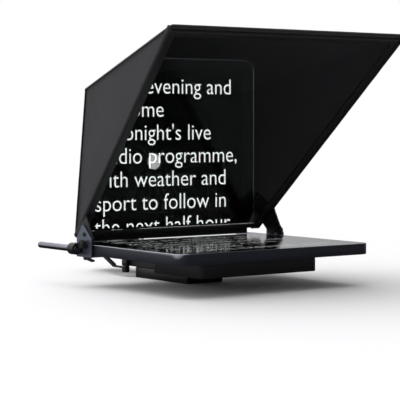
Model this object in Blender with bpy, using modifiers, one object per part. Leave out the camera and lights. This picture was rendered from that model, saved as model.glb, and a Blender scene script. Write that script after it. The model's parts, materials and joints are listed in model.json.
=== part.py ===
"""Camera-mounted teleprompter with real joints, one object per sub-part.

A flat monitor lies face up under a glass at 45 degrees. The glass sits in a trapezoid frame that carries a
black fabric hood, and the frame tilts on two brackets beside the monitor. Everything rides on a rail, which
slides on the tripod base and carries a riser with the camera plate behind the hood.

Metres, +Z up. -Y is the presenter's side, +Y the camera's side, and X = 0 the plane of symmetry. The origin
is on the underside of the base block, on the tripod's axis. Sizes below are in millimetres.
"""

import math

import bmesh
import bpy
from mathutils import Matrix, Vector

MM = 0.001
GAP = 0.3
ROUND_STEPS = 20

# Monitor: a 19-inch 5:4 panel in a flat housing
MONITOR_WIDTH = 440.0
MONITOR_DEPTH = 334.0
MONITOR_TOP = 79.0
MONITOR_UNDERSIDE = 59.0
MONITOR_CORNER = 24.0
WALL = 3.0
MONITOR_CENTRE_Y = -MONITOR_DEPTH / 2
PANEL_SIZE = (390.0, 314.0)
SCREEN_RECESS = 0.5

# Electronics box under the monitor
BOX_HALF_WIDTH = 135.0
BOX_FRONT = -280.0
BOX_REAR = -128.0
BOX_BOTTOM = 28.0
BOX_WALL = 2.5
CONTROL_HEIGHT = 44.0
POWER_X = 75.0
VIDEO_XS = (-84.0, -58.0)
BUTTON_YS = (-190.0, -204.0, -218.0, -232.0)
SWITCH_Y = -160.0
SWITCH_TILT = 7.0

# Base and rail
BASE_HALF_WIDTH = 42.0
BASE_TOP = 20.0
CARRIAGE_TOP = 43.7
RAIL_HALF_WIDTH = 30.0
RAIL_TONGUE = 18.0
RAIL_SHOULDER = 44.0
RAIL_TOP = 54.0
RAIL_FRONT = -105.0
RAIL_REAR = 250.0
LEVER_AXIS = (-47.0, 87.5)

# Camera riser
FOOT_TOP = 64.0
COLUMN_OUTER = 38.0
LIFT_TOP = 183.0
PLATE_TOP = 193.0
RISER_Y = 190.0
LIFT_STUD_HEIGHT = 112.0
CAMERA_SCREW_Y = 185.0
VIDEO_PIN_Y = 140.0
KNOB_RADIUS = 13.0

# Glass plane: the line y = GLASS_FOOT - z, tilted 45 degrees towards the presenter
GLASS_FOOT = 94.7
GLASS_THICKNESS = 3.0
LIP_FRONT = 2.4
HOOD_RIM_BOTTOM = 90.3
HOOD_RIM_TOP = 463.7
HOOD_RIM_FLARE = 0.1303
HOOD_RIM_WIDTH_AT_MONITOR = 217.5
FABRIC = 2.4
FRAME_BOTTOM = 92.0
FRAME_TOP = 454.4
FRAME_INSET = 5.0
FRAME_WIDTHS = (10.0, 14.0, 9.0)
FRAME_WEB = 0.45
LIP_BACK = 0.4

# Hood's rear panel and its lens opening
REAR_Y = 6.7
REAR_TOP = (191.0, 366.4)
REAR_BOTTOM_HEIGHT = 99.5
LENS_HALF_WIDTH = 95.6
LENS_HEIGHTS = (129.5, 322.4)
LENS_CORNER = 21.0
SHROUD_REAR_Y = 60.0
SHROUD_MOUTH = 16.0
SKIRT_HALF_WIDTH = 193.0

# Side brackets, mirrored left and right
PIVOT = (-44.0, 98.0)
TILT_BOLT = (-48.0, 80.0)
TILT_RANGE = (-8.0, 45.0)
EAR_INNER = 220.6
BRACKET_INNER = 224.3
BRACKET_OUTER = 227.3
ROD_X = 238.8
ROD_Z = 71.0
ROD_RADIUS = 6.0
ROD_SPAN = (-37.0, 95.0)
CLAMP_SPAN = (-37.5, -19.0)
CLAMP_RADIUS = 10.9
FOOT_LEVER = (211.0, -25.0)
FOOT_UNDERSIDE = 55.5

SLOPE = math.sqrt(0.5)
ORIGIN = (0.0, 0.0, 0.0)
TO_YZ = Matrix(((0, 0, 1, 0), (1, 0, 0, 0), (0, 1, 0, 0), (0, 0, 0, 1)))
TO_XZ = Matrix(((1, 0, 0, 0), (0, 0, -1, 0), (0, 1, 0, 0), (0, 0, 0, 1)))


# ---------------------------------------------------------------- scene, materials and shapes


def new_collection(name):
    collection = bpy.data.collections.new(name)
    bpy.context.scene.collection.children.link(collection)
    return collection


def clear_scene():
    for obj in list(bpy.data.objects):
        bpy.data.objects.remove(obj)


def new_material(name, colour, roughness, metallic=0.0, alpha=1.0):
    material = bpy.data.materials.new(name)
    material.use_nodes = True
    shader = material.node_tree.nodes["Principled BSDF"]
    shader.inputs["Base Color"].default_value = (*colour, 1.0)
    shader.inputs["Roughness"].default_value = roughness
    shader.inputs["Metallic"].default_value = metallic
    shader.inputs["Alpha"].default_value = alpha
    return material


clear_scene()
PARTS = new_collection("teleprompter")
HELPERS = new_collection("cutters")

BLACK_METAL = new_material("black_metal", (0.018, 0.018, 0.02), 0.42, 0.6)
GREY_METAL = new_material("grey_metal", (0.28, 0.31, 0.36), 0.38, 0.8)
STEEL = new_material("steel", (0.55, 0.55, 0.56), 0.25, 1.0)
RUBBER = new_material("rubber", (0.012, 0.012, 0.012), 0.75)
PLASTIC = new_material("black_plastic", (0.022, 0.022, 0.025), 0.5)
CLOTH = new_material("black_fabric", (0.02, 0.02, 0.022), 0.92)
COATED_GLASS = new_material("coated_glass", (0.35, 0.38, 0.38), 0.03, 0.0, 0.35)
SCREEN = new_material("screen", (0.01, 0.01, 0.012), 0.05)
BOARD = new_material("board", (0.02, 0.12, 0.05), 0.5)


def add_object(name, mesh, material, pivot=ORIGIN, bevel=0.0, segments=2, sharp_angle=35):
    """Puts a mesh in metres into the scene, with its origin moved to pivot, and rounds its edges."""
    centre = Vector(pivot) * MM
    mesh.transform(Matrix.Translation(-centre))
    mesh.name = name
    mesh.materials.clear()
    mesh.materials.append(material)
    mesh.shade_smooth()
    mesh.set_sharp_from_angle(angle=math.radians(sharp_angle))
    obj = bpy.data.objects.new(name, mesh)
    obj.location = centre
    PARTS.objects.link(obj)
    if bevel:
        rounding = obj.modifiers.new("rounded edges", "BEVEL")
        rounding.width = bevel * MM
        rounding.segments = segments
        rounding.limit_method = "ANGLE"
        rounding.angle_limit = math.radians(50)
    return obj


def mesh_of(bm):
    """A bmesh in millimetres as a mesh in metres, facing out."""
    bmesh.ops.recalc_face_normals(bm, faces=bm.faces)
    bmesh.ops.scale(bm, vec=(MM, MM, MM), verts=bm.verts)
    mesh = bpy.data.meshes.new("shape")
    bm.to_mesh(mesh)
    bm.free()
    return mesh


def block_mesh(low, high):
    low, high = Vector(low), Vector(high)
    bm = bmesh.new()
    bmesh.ops.create_cube(bm, size=1.0)
    bmesh.ops.scale(bm, vec=high - low, verts=bm.verts)
    bmesh.ops.translate(bm, vec=(low + high) / 2, verts=bm.verts)
    return mesh_of(bm)


def block(name, low, high, material, **options):
    return add_object(name, block_mesh(low, high), material, **options)


def cylinder_mesh(start, end, radius, steps=ROUND_STEPS):
    start, end = Vector(start), Vector(end)
    along = end - start
    turn = along.to_track_quat("Z", "Y").to_matrix().to_4x4()
    bm = bmesh.new()
    bmesh.ops.create_cone(
        bm,
        cap_ends=True,
        segments=steps,
        radius1=radius,
        radius2=radius,
        depth=along.length,
        matrix=Matrix.Translation((start + end) / 2) @ turn,
    )
    return mesh_of(bm)


def flat_mesh(loops, low, high, matrix=None):
    """The outlines in loops, filled from height low to high. An outline inside another is a hole."""
    curve = bpy.data.curves.new("outline", "CURVE")
    curve.dimensions = "2D"
    curve.fill_mode = "BOTH"
    curve.extrude = (high - low) / 2 * MM
    for loop in loops:
        spline = curve.splines.new("POLY")
        spline.points.add(len(loop) - 1)
        for point, (x, y) in zip(spline.points, loop):
            point.co = (x * MM, y * MM, 0.0, 1.0)
        spline.use_cyclic_u = True
    guide = bpy.data.objects.new("outline", curve)
    HELPERS.objects.link(guide)
    graph = bpy.context.evaluated_depsgraph_get()
    mesh = bpy.data.meshes.new_from_object(guide.evaluated_get(graph))
    bpy.data.objects.remove(guide)
    bm = bmesh.new()
    bm.from_mesh(mesh)
    bmesh.ops.remove_doubles(bm, verts=bm.verts, dist=1e-6)
    bmesh.ops.translate(bm, vec=(0, 0, (low + high) / 2 * MM), verts=bm.verts)
    if matrix is not None:
        bmesh.ops.transform(bm, matrix=matrix, verts=bm.verts)
    bmesh.ops.recalc_face_normals(bm, faces=bm.faces)
    bm.to_mesh(mesh)
    bm.free()
    return mesh


def turned(name, profile, centre, axis, material, steps=ROUND_STEPS):
    """A turned piece: (radius, height) pairs from the top down, closed on the axis at both ends."""
    mesh = bpy.data.meshes.new(name)
    points = [(radius * MM, 0.0, height * MM) for radius, height in profile]
    mesh.from_pydata(points, [(i, i + 1) for i in range(len(points) - 1)], [])
    mesh.materials.append(material)
    obj = bpy.data.objects.new(name, mesh)
    obj.location = Vector(centre) * MM
    obj.rotation_mode = "QUATERNION"
    obj.rotation_quaternion = Vector(axis).to_track_quat("Z", "Y")
    PARTS.objects.link(obj)
    screw = obj.modifiers.new("turned", "SCREW")
    screw.axis = "Z"
    screw.steps = screw.render_steps = steps
    screw.use_merge_vertices = True
    screw.merge_threshold = 1e-5
    screw.use_smooth_shade = True
    return obj


def helper(mesh, name="cutter"):
    """A cutter, or a shape to join, which the build leaves out."""
    obj = bpy.data.objects.new(name, mesh)
    obj.hide_render = True
    obj.display_type = "WIRE"
    HELPERS.objects.link(obj)
    return obj


def combine(obj, operation, *meshes):
    for mesh in meshes:
        step = obj.modifiers.new(operation.lower(), "BOOLEAN")
        step.operation = operation
        step.object = helper(mesh)
    return obj


def cut(obj, *meshes):
    return combine(obj, "DIFFERENCE", *meshes)


def join(obj, *meshes):
    return combine(obj, "UNION", *meshes)


def arc(centre, radius, start, end, steps):
    """Points on an arc from start to end, in degrees."""
    angles = [math.radians(start + (end - start) * i / steps) for i in range(steps + 1)]
    return [(centre[0] + radius * math.cos(a), centre[1] + radius * math.sin(a)) for a in angles]


def circle(centre, radius, steps=ROUND_STEPS):
    return arc(centre, radius, 0, 360 - 360 / steps, steps - 1)


def rounded_rectangle(low, high, radius, steps=6):
    corners = ((high[0], high[1]), (low[0], high[1]), (low[0], low[1]), (high[0], low[1]))
    points = []
    for i, (x, y) in enumerate(corners):
        inward = (-radius if x == high[0] else radius, -radius if y == high[1] else radius)
        points += arc((x + inward[0], y + inward[1]), radius, 90 * i, 90 * (i + 1), steps)
    return points


def sided(name, side):
    return f"{name}_{'right' if side > 0 else 'left'}"


def span(side, inner, outer):
    """The X range of a layer on one side, lowest first."""
    return (inner, outer) if side > 0 else (-outer, -inner)


# ---------------------------------------------------------------- base and rail


def make_base():
    base = block(
        "base_block", (-BASE_HALF_WIDTH, -111, 0), (BASE_HALF_WIDTH, 61, BASE_TOP), BLACK_METAL, bevel=1.5
    )
    cut(
        base,
        cylinder_mesh((0, -35, -1), (0, -35, 14), 4.75),
        cylinder_mesh((0, 32, -1), (0, 32, 14), 4.75),
        cylinder_mesh((0, -60, -1), (0, -60, 14), 3.2),
    )
    low, half = BASE_TOP + GAP, BASE_HALF_WIDTH
    groove_left, groove_right, floor = -22.3, RAIL_TONGUE + GAP, 30.0
    outline = [
        (-half, low),
        (half, low),
        (half, CARRIAGE_TOP),
        (groove_right, CARRIAGE_TOP),
        (groove_right, floor),
        (groove_left, floor),
        (groove_left, CARRIAGE_TOP),
        (-half, CARRIAGE_TOP),
    ]
    add_object("rail_carriage", flat_mesh([outline], -96, 100, TO_XZ), BLACK_METAL, bevel=0.8, segments=1)
    block("carriage_gib", (-22, 60, 31), (-RAIL_TONGUE - GAP, 95, 43), STEEL)


def make_brake():
    """The clamp block on the carriage's left side and the lever that turns under it."""
    x, y = LEVER_AXIS
    block(
        "lever_block",
        (-51.3, 79, BASE_TOP + GAP),
        (-BASE_HALF_WIDTH - GAP, 96, 34.3),
        BLACK_METAL,
        bevel=1.2,
    )
    paddle = [(y, 15.5), (128, 15.5), (133, 18), (163, 32), (163, 37), (130, 22.5), (126, 18.5), (y, 18.5)]
    lever = turned(
        "brake_lever",
        [(0, 0), (6.5, 0), (7.5, -1), (7.5, -11), (6.5, -12), (0, -12)],
        (x, y, BASE_TOP),
        (0, 0, 1),
        BLACK_METAL,
    )
    join(lever, flat_mesh([paddle], x - 4, x + 4, TO_YZ))


def make_rail():
    half, tongue = RAIL_HALF_WIDTH, RAIL_TONGUE
    low = 30.0 + GAP
    outline = [
        (-tongue, low),
        (tongue, low),
        (tongue, RAIL_SHOULDER),
        (half, RAIL_SHOULDER),
        (half, RAIL_TOP),
        (-half, RAIL_TOP),
        (-half, RAIL_SHOULDER),
        (-tongue, RAIL_SHOULDER),
    ]
    rail = flat_mesh([outline], -RAIL_REAR, -RAIL_FRONT, TO_XZ)
    add_object("main_rail", rail, BLACK_METAL, bevel=0.8, segments=1)
    block(
        "rail_end_stop",
        (-half, RAIL_REAR + GAP, low),
        (half, RAIL_REAR + 6, RAIL_TOP + 5),
        BLACK_METAL,
        bevel=1.0,
    )
    plate = rounded_rectangle((-60, -115), (60, -15), 8, 4)
    screws = [circle((x, y), 2.6, 12) for x in (-50, 50) for y in (-105, -25)]
    mount = flat_mesh([plate, *screws], RAIL_TOP + GAP, MONITOR_UNDERSIDE - GAP)
    add_object("monitor_mount_plate", mount, BLACK_METAL)


# ---------------------------------------------------------------- camera riser


def knob_profile(reach, stud, grip, length):
    """A clamping knob: a stud that reaches in by reach, a collar and a grip. Height 0 is the seat."""
    return [
        (0, length),
        (grip * 0.75, length),
        (grip, length - 2),
        (grip, 4),
        (grip - 1.5, 2.5),
        (grip * 0.5, 2),
        (grip * 0.5, 0.3),
        (stud, 0.3),
        (stud, -reach),
        (0, -reach),
    ]


def make_riser():
    half = 45.0
    under = RAIL_TOP + GAP
    jaw = RAIL_HALF_WIDTH + GAP
    outline = [(-half, 45), (-jaw, 45), (-jaw, under), (jaw, under), (jaw, 45), (half, 45)]
    outline += [(half, FOOT_TOP), (-half, FOOT_TOP)]
    foot = add_object("riser_foot", flat_mesh([outline], -230, -150, TO_XZ), BLACK_METAL)
    cut(foot, cylinder_mesh((28, RISER_Y, 50), (50, RISER_Y, 50), 3.4, 12))
    turned(
        "riser_lock_knob",
        knob_profile(half - jaw - 0.5, 3.0, 11.0, 14),
        (half, RISER_Y, 50),
        (1, 0, 0),
        RUBBER,
    )
    column = rounded_rectangle((RISER_Y - 25, FOOT_TOP + GAP), (RISER_Y + 25, 142), 3, 2)
    slot = rounded_rectangle((RISER_Y - 3.4, 80), (RISER_Y + 3.4, 135), 3.39, 5)
    for side in (-1, 1):
        low, high = span(side, RAIL_HALF_WIDTH, COLUMN_OUTER)
        add_object(sided("riser_column", side), flat_mesh([column, slot], low, high, TO_YZ), BLACK_METAL)


def make_lift():
    """The bracket that slides up and down on the columns, with its two knobs."""
    inner = COLUMN_OUTER + GAP
    outer = inner + 5
    cheek = rounded_rectangle((RISER_Y - 28, 90), (RISER_Y + 28, LIFT_TOP - 3), 2, 2)
    stud = circle((RISER_Y, LIFT_STUD_HEIGHT), 3.4, 16)
    top = block("lift_bracket", (-outer, 120, LIFT_TOP - 6), (outer, 250, LIFT_TOP), BLACK_METAL)
    for side in (-1, 1):
        low, high = span(side, inner, outer)
        join(top, flat_mesh([cheek, stud], low, high, TO_YZ))
        lip_low, lip_high = span(side, 30.3, outer)
        join(top, block_mesh((lip_low, 130, LIFT_TOP - 1), (lip_high, 245, LIFT_TOP + 7)))
        turned(
            sided("lift_knob", side),
            knob_profile(outer - RAIL_HALF_WIDTH - 0.5, 3.0, KNOB_RADIUS, 16),
            (side * outer, RISER_Y, LIFT_STUD_HEIGHT),
            (side, 0, 0),
            RUBBER,
        )
    cut(top, cylinder_mesh((28, 215, LIFT_TOP + 3.5), (50, 215, LIFT_TOP + 3.5), 2.4, 12))
    turned(
        "plate_lock_knob",
        knob_profile(outer - 30.3 - 0.3, 2.0, 6.0, 10),
        (outer, 215, LIFT_TOP + 3.5),
        (1, 0, 0),
        RUBBER,
        steps=16,
    )


def make_camera_plate():
    plate_low = LIFT_TOP + GAP
    outline = rounded_rectangle((-30, 115), (30, 255), 3, 3)
    slot = rounded_rectangle((-5.2, 150), (5.2, 230), 5.19, 5)
    hole = circle((0, VIDEO_PIN_Y), 2.9, 16)
    plate = add_object("camera_plate", flat_mesh([outline, slot, hole], plate_low, PLATE_TOP), BLACK_METAL)
    pocket = rounded_rectangle((-9, 146), (9, 234), 8.99, 5)
    cut(plate, flat_mesh([pocket], plate_low - 2, plate_low + 4.7))
    turned(
        "camera_screw",
        [(0, 8), (3.9, 8), (4.75, 7), (4.75, -5.4), (8, -5.4), (8, -9.2), (0, -9.2)],
        (0, CAMERA_SCREW_Y, PLATE_TOP),
        (0, 0, 1),
        STEEL,
    )
    turned(
        "video_pin",
        [(0, 5), (1.8, 5), (2.5, 4), (2.5, -5), (0, -5)],
        (0, VIDEO_PIN_Y, PLATE_TOP),
        (0, 0, 1),
        STEEL,
        steps=16,
    )


# ---------------------------------------------------------------- monitor


def monitor_outline(inset, corner):
    half = MONITOR_WIDTH / 2 - inset
    return rounded_rectangle((-half, -MONITOR_DEPTH + inset), (half, -inset), corner)


def make_monitor():
    housing = add_object(
        "monitor_housing",
        flat_mesh([monitor_outline(0, MONITOR_CORNER)], MONITOR_UNDERSIDE, MONITOR_TOP),
        PLASTIC,
        bevel=1.2,
    )
    hollow = monitor_outline(WALL, MONITOR_CORNER - WALL)
    inside = flat_mesh([hollow], MONITOR_UNDERSIDE + WALL, MONITOR_TOP + 1)
    floor_low, floor_high = MONITOR_UNDERSIDE - 1, MONITOR_UNDERSIDE + WALL + 1
    cut(housing, inside, block_mesh((-30, -225, floor_low), (30, -190, floor_high)))
    x, y = FOOT_LEVER
    for side in (-1, 1):
        cut(housing, cylinder_mesh((side * x, y, floor_low), (side * x, y, floor_high), 2.9, 12))
    glass_inset = WALL + GAP
    glass = flat_mesh(
        [monitor_outline(glass_inset, MONITOR_CORNER - glass_inset)],
        MONITOR_TOP - SCREEN_RECESS - 2.8,
        MONITOR_TOP - SCREEN_RECESS,
    )
    add_object("screen_glass", glass, SCREEN)
    half_x, half_y = PANEL_SIZE[0] / 2, PANEL_SIZE[1] / 2
    block(
        "lcd_panel",
        (-half_x, MONITOR_CENTRE_Y - half_y, MONITOR_UNDERSIDE + 5),
        (half_x, MONITOR_CENTRE_Y + half_y, MONITOR_TOP - SCREEN_RECESS - 3.1),
        GREY_METAL,
    )


def make_electronics_box():
    half, top = BOX_HALF_WIDTH, MONITOR_UNDERSIDE - GAP
    outline = rounded_rectangle((-half, BOX_FRONT), (half, BOX_REAR), 12)
    shell = add_object("electronics_box", flat_mesh([outline], BOX_BOTTOM, top), PLASTIC, bevel=1.2)
    wall = BOX_WALL
    hollow = rounded_rectangle((-half + wall, BOX_FRONT + wall), (half - wall, BOX_REAR - wall), 12 - wall)
    cut(shell, flat_mesh([hollow], BOX_BOTTOM + wall, top + 1))
    rear_holes = ((POWER_X, 9.7), *((x, 5.3) for x in VIDEO_XS))
    for x, radius in rear_holes:
        start = (x, BOX_REAR - 5, CONTROL_HEIGHT)
        cut(shell, cylinder_mesh(start, (x, BOX_REAR + 5, CONTROL_HEIGHT), radius))
    for y in BUTTON_YS:
        start = (half - 6, y, CONTROL_HEIGHT)
        cut(shell, cylinder_mesh(start, (half + 2, y, CONTROL_HEIGHT), 3.8, 16))
    switch_low = (half - 6, SWITCH_Y - 7, CONTROL_HEIGHT - 4.8)
    cut(shell, block_mesh(switch_low, (half + 2, SWITCH_Y + 7, CONTROL_HEIGHT + 4.8)))
    block("controller_board", (-100, -250, 35), (100, -152, 36.6), BOARD)


def make_sockets_and_controls():
    face = BOX_REAR + GAP
    turned(
        "power_socket",
        [(0, -13), (7.6, -13), (7.6, 2.5), (12, 2.5), (12, 0), (9.3, 0), (9.3, -18), (0, -18)],
        (POWER_X, face, CONTROL_HEIGHT),
        (0, 1, 0),
        BLACK_METAL,
        steps=24,
    )
    for number, x in enumerate(VIDEO_XS, 1):
        turned(
            f"video_socket_{number}",
            [(0, 14), (4.3, 14), (4.8, 13.5), (4.8, 2.2), (7.5, 2.2), (7.5, 0), (4.9, 0), (4.9, -7), (0, -7)],
            (x, face, CONTROL_HEIGHT),
            (0, 1, 0),
            STEEL,
        )
    for number, y in enumerate(BUTTON_YS, 1):
        turned(
            f"menu_button_{number}",
            [(0, 1.6), (2.6, 1.5), (3.4, 0.9), (3.4, -5), (0, -5)],
            (BOX_HALF_WIDTH, y, CONTROL_HEIGHT),
            (1, 0, 0),
            RUBBER,
            steps=16,
        )
    pivot_x, reach = BOX_HALF_WIDTH - 1.5, 6.0
    outline = [
        (pivot_x - 3, SWITCH_Y - reach),
        (pivot_x + 2.8, SWITCH_Y - reach),
        (pivot_x + 2.2, SWITCH_Y),
        (pivot_x + 2.8, SWITCH_Y + reach),
        (pivot_x - 3, SWITCH_Y + reach),
    ]
    rocker = add_object(
        "power_switch",
        flat_mesh([outline], CONTROL_HEIGHT - 4.2, CONTROL_HEIGHT + 4.2),
        PLASTIC,
        pivot=(pivot_x, SWITCH_Y, CONTROL_HEIGHT),
    )
    rocker.rotation_euler.z = math.radians(-SWITCH_TILT)


# ---------------------------------------------------------------- side brackets, rods and clamps


def make_side_bracket(side):
    y, z = PIVOT
    outline = [(-17.5, 90.5), *arc((-38.5, 112.5), 2.5, 45, 135, 3), (-67, 90.5)]
    outline += [(-67, FOOT_UNDERSIDE), (-17.5, FOOT_UNDERSIDE)]
    holes = [circle((y, z), 3.3, 16), circle(TILT_BOLT, 2.9, 16)]
    low, high = span(side, BRACKET_INNER, BRACKET_OUTER)
    bracket = add_object(
        sided("side_bracket", side), flat_mesh([outline, *holes], low, high, TO_YZ), GREY_METAL
    )
    flange_x = span(side, 198, BRACKET_OUTER - 1)
    foot = rounded_rectangle((flange_x[0], -62), (flange_x[1], -17.5), 0.8, 1)
    bolt = circle((side * FOOT_LEVER[0], FOOT_LEVER[1]), 2.9, 12)
    join(bracket, flat_mesh([foot, bolt], FOOT_UNDERSIDE, MONITOR_UNDERSIDE - GAP))


def make_rod_and_clamp(side):
    x = side * ROD_X
    middle = sum(CLAMP_SPAN) / 2
    length = (CLAMP_SPAN[1] - CLAMP_SPAN[0]) / 2
    clamp = turned(
        sided("rod_clamp", side),
        [(0, length), (10.3, length), (CLAMP_RADIUS, length - 0.6), (CLAMP_RADIUS, 0.6 - length),
         (10.3, -length), (0, -length)],
        (x, middle, ROD_Z),
        (0, 1, 0),
        BLACK_METAL,
        steps=36,
    )
    low, high = span(side, BRACKET_OUTER + GAP, BRACKET_OUTER + 4.6)
    join(clamp, block_mesh((low, CLAMP_SPAN[0], ROD_Z - 8.5), (high, CLAMP_SPAN[1], ROD_Z + 8.5)))
    cut(
        clamp,
        cylinder_mesh((x, CLAMP_SPAN[0] - 2, ROD_Z), (x, CLAMP_SPAN[1] + 2, ROD_Z), ROD_RADIUS + GAP, 24),
        cylinder_mesh((x, middle, ROD_Z), (x, middle, ROD_Z + 14), 2.8, 12),
    )
    half = (ROD_SPAN[1] - ROD_SPAN[0]) / 2
    turned(
        sided("side_rod", side),
        [(0, half), (3.5, half - 0.6), (6, half - 3), (6, 1 - half), (5, -half), (0, -half)],
        (x, sum(ROD_SPAN) / 2, ROD_Z),
        (0, 1, 0),
        GREY_METAL,
        steps=24,
    )
    turned(
        sided("rod_screw", side),
        [(0, 11.6), (2.4, 11.6), (2.4, 6.4), (0, 6.4)],
        (x, middle, ROD_Z),
        (0, 0, 1),
        STEEL,
        steps=12,
    )


def make_bracket_fasteners(side):
    y, z = PIVOT
    turned(
        sided("hinge_pin", side),
        [(0, 2.2), (3.2, 2.2), (4.2, 1.4), (4.2, 0.3), (2.8, 0.3), (2.8, -6.4), (0, -6.4)],
        (side * BRACKET_OUTER, y, z),
        (side, 0, 0),
        BLACK_METAL,
    )
    turned(
        sided("tilt_knob", side),
        knob_profile(6.4, 2.5, 8.3, 12),
        (side * BRACKET_OUTER, *TILT_BOLT),
        (side, 0, 0),
        RUBBER,
    )
    x, y = side * FOOT_LEVER[0], FOOT_LEVER[1]
    lever = turned(
        sided("foot_lever", side),
        [(0, 7), (2.5, 7), (2.5, -0.4), (5.5, -0.4), (5.5, -5.5), (4, -7), (0, -7)],
        (x, y, FOOT_UNDERSIDE),
        (0, 0, 1),
        BLACK_METAL,
    )
    arm = [(0, -1), (-24, -6), (-25, -8.5), (-22, -9.5), (0, -6)]
    arm = [(y + along, FOOT_UNDERSIDE + up) for along, up in arm]
    join(lever, flat_mesh([arm], x - 3, x + 3, TO_YZ))


# ---------------------------------------------------------------- glass and its frame


def on_glass(x, height, front):
    """The point of the glass plane at this height, moved out of the plane towards the presenter."""
    return (x, GLASS_FOOT - height - front * SLOPE, height - front * SLOPE)


def rim_half_width(height):
    return HOOD_RIM_WIDTH_AT_MONITOR + HOOD_RIM_FLARE * (height - MONITOR_TOP)


def frame_trapezoid(share, inset=0.0):
    """Corners of the frame, from its outer edge (share 0) to its inner edge (1), moved further in by inset.

    They run from bottom left to bottom right, top right and top left.
    """
    bottom, side, top = (width * share + inset for width in FRAME_WIDTHS)
    low = FRAME_BOTTOM + bottom * SLOPE
    high = FRAME_TOP - top * SLOPE
    low_half = rim_half_width(low) - FRAME_INSET - side
    high_half = rim_half_width(high) - FRAME_INSET - side
    return [(-low_half, low), (low_half, low), (high_half, high), (-high_half, high)]


def pivot_point():
    return (0, *PIVOT)


def loft(sections):
    """A closed solid through equal rings of points, capped at both ends."""
    bm = bmesh.new()
    rings = [[bm.verts.new(point) for point in ring] for ring in sections]
    count = len(rings[0])
    for first, second in zip(rings, rings[1:]):
        for i in range(count):
            j = (i + 1) % count
            bm.faces.new((first[i], first[j], second[j], second[i]))
    bm.faces.new(rings[0])
    bm.faces.new(rings[-1])
    return mesh_of(bm)


def make_frame_bars():
    """Four bars of L section, mitred at the corners. Each names its two corners of the trapezoid."""
    depths = {"bottom": 6.0, "side": 3.4, "top": 3.4}
    bars = (("bottom", "bottom", 0), ("right", "side", 1), ("top", "top", 2), ("left", "side", 3))
    for name, kind, first in bars:
        section = (
            (0.0, -depths[kind]),
            (0.0, LIP_FRONT),
            (1.0, LIP_FRONT),
            (1.0, LIP_BACK),
            (FRAME_WEB, LIP_BACK),
            (FRAME_WEB, -depths[kind]),
        )
        ends = []
        for corner, other in ((first, (first + 1) % 4), ((first + 1) % 4, first)):
            ring = []
            for share, front in section:
                outline = frame_trapezoid(share)
                here = Vector(on_glass(*outline[corner], front))
                there = Vector(on_glass(*outline[other], front))
                ring.append(here + (there - here).normalized() * GAP)
            ends.append(ring)
        add_object(f"frame_bar_{name}", loft(ends), BLACK_METAL, pivot=pivot_point())


def make_glass():
    corners = frame_trapezoid(FRAME_WEB, 0.5)
    back = [on_glass(x, z, -GLASS_THICKNESS) for x, z in corners]
    front = [on_glass(x, z, 0.0) for x, z in corners]
    add_object("mirror_glass", loft([back, front]), COATED_GLASS, pivot=pivot_point())


def make_hinge_ear(side):
    """The plate that carries the frame on the pivot, with an arc slot for the lock bolt."""
    bolt = Vector(TILT_BOLT) - Vector(PIVOT)
    at_rest = math.degrees(math.atan2(bolt.y, bolt.x))
    start, end = at_rest - TILT_RANGE[1], at_rest - TILT_RANGE[0]
    spare = 3.0
    radius, half_slot, rim = bolt.length, 3.0, 4.0
    ends = [[PIVOT[i] + radius * f(math.radians(a)) for i, f in enumerate((math.cos, math.sin))]
            for a in (start - spare, end + spare)]
    slot = arc(PIVOT, radius + half_slot, start - spare, end + spare, 10)
    slot += arc(ends[1], half_slot, end + spare, end + spare + 180, 5)[1:-1]
    slot += arc(PIVOT, radius - half_slot, end + spare, start - spare, 10)
    slot += arc(ends[0], half_slot, start - spare + 180, start - spare + 360, 5)[1:-1]
    front = LIP_FRONT + GAP
    low_foot = on_glass(0, 102.0, front)[1:]
    high_foot = on_glass(0, 136.0, front)[1:]
    outline = [
        *arc(PIVOT, radius + half_slot + rim, start - 14, end + 14, 10),
        low_foot,
        high_foot,
        (PIVOT[0] - 12, PIVOT[1] + 13),
    ]
    pin_hole = circle(PIVOT, 3.1, 16)
    low, high = span(side, EAR_INNER, EAR_INNER + 3)
    ear = add_object(
        sided("hinge_ear", side),
        flat_mesh([outline, slot, pin_hole], low, high, TO_YZ),
        GREY_METAL,
        pivot=pivot_point(),
    )
    inner, outer = 205.0, EAR_INNER + 2.5
    rings = []
    for offset in (front, front + 3):
        heights = (105.0, 133.0)
        rings.append(
            [
                on_glass(side * inner, heights[0], offset),
                on_glass(side * outer, heights[0], offset),
                on_glass(side * outer, heights[1], offset),
                on_glass(side * inner, heights[1], offset),
            ]
        )
    join(ear, loft(rings))


# ---------------------------------------------------------------- hood


def hood_corners(side):
    """Outer corners of one side panel: rim top, rear top, rear bottom, rim bottom."""
    rim_top_y = GLASS_FOOT - 2 * LIP_FRONT * SLOPE - HOOD_RIM_TOP
    rim_bottom_y = GLASS_FOOT - 2 * LIP_FRONT * SLOPE - HOOD_RIM_BOTTOM
    rim_top = Vector((rim_half_width(HOOD_RIM_TOP), rim_top_y, HOOD_RIM_TOP))
    rim_bottom = Vector((rim_half_width(HOOD_RIM_BOTTOM), rim_bottom_y, HOOD_RIM_BOTTOM))
    rear_top = Vector((REAR_TOP[0], REAR_Y, REAR_TOP[1]))
    normal = (rear_top - rim_top).cross(rim_bottom - rim_top).normalized()
    rear_bottom = Vector((0, REAR_Y, REAR_BOTTOM_HEIGHT))
    rear_bottom.x = (normal.dot(rim_top) - normal.y * REAR_Y - normal.z * REAR_BOTTOM_HEIGHT) / normal.x
    corners = [rim_top, rear_top, rear_bottom, rim_bottom]
    for corner in corners:
        corner.x *= side
    return corners


def panel(name, corners, inward):
    outer = [Vector(corner) for corner in corners]
    inner = [corner + inward * FABRIC for corner in outer]
    add_object(name, loft([outer, inner]), CLOTH, pivot=pivot_point())


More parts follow.
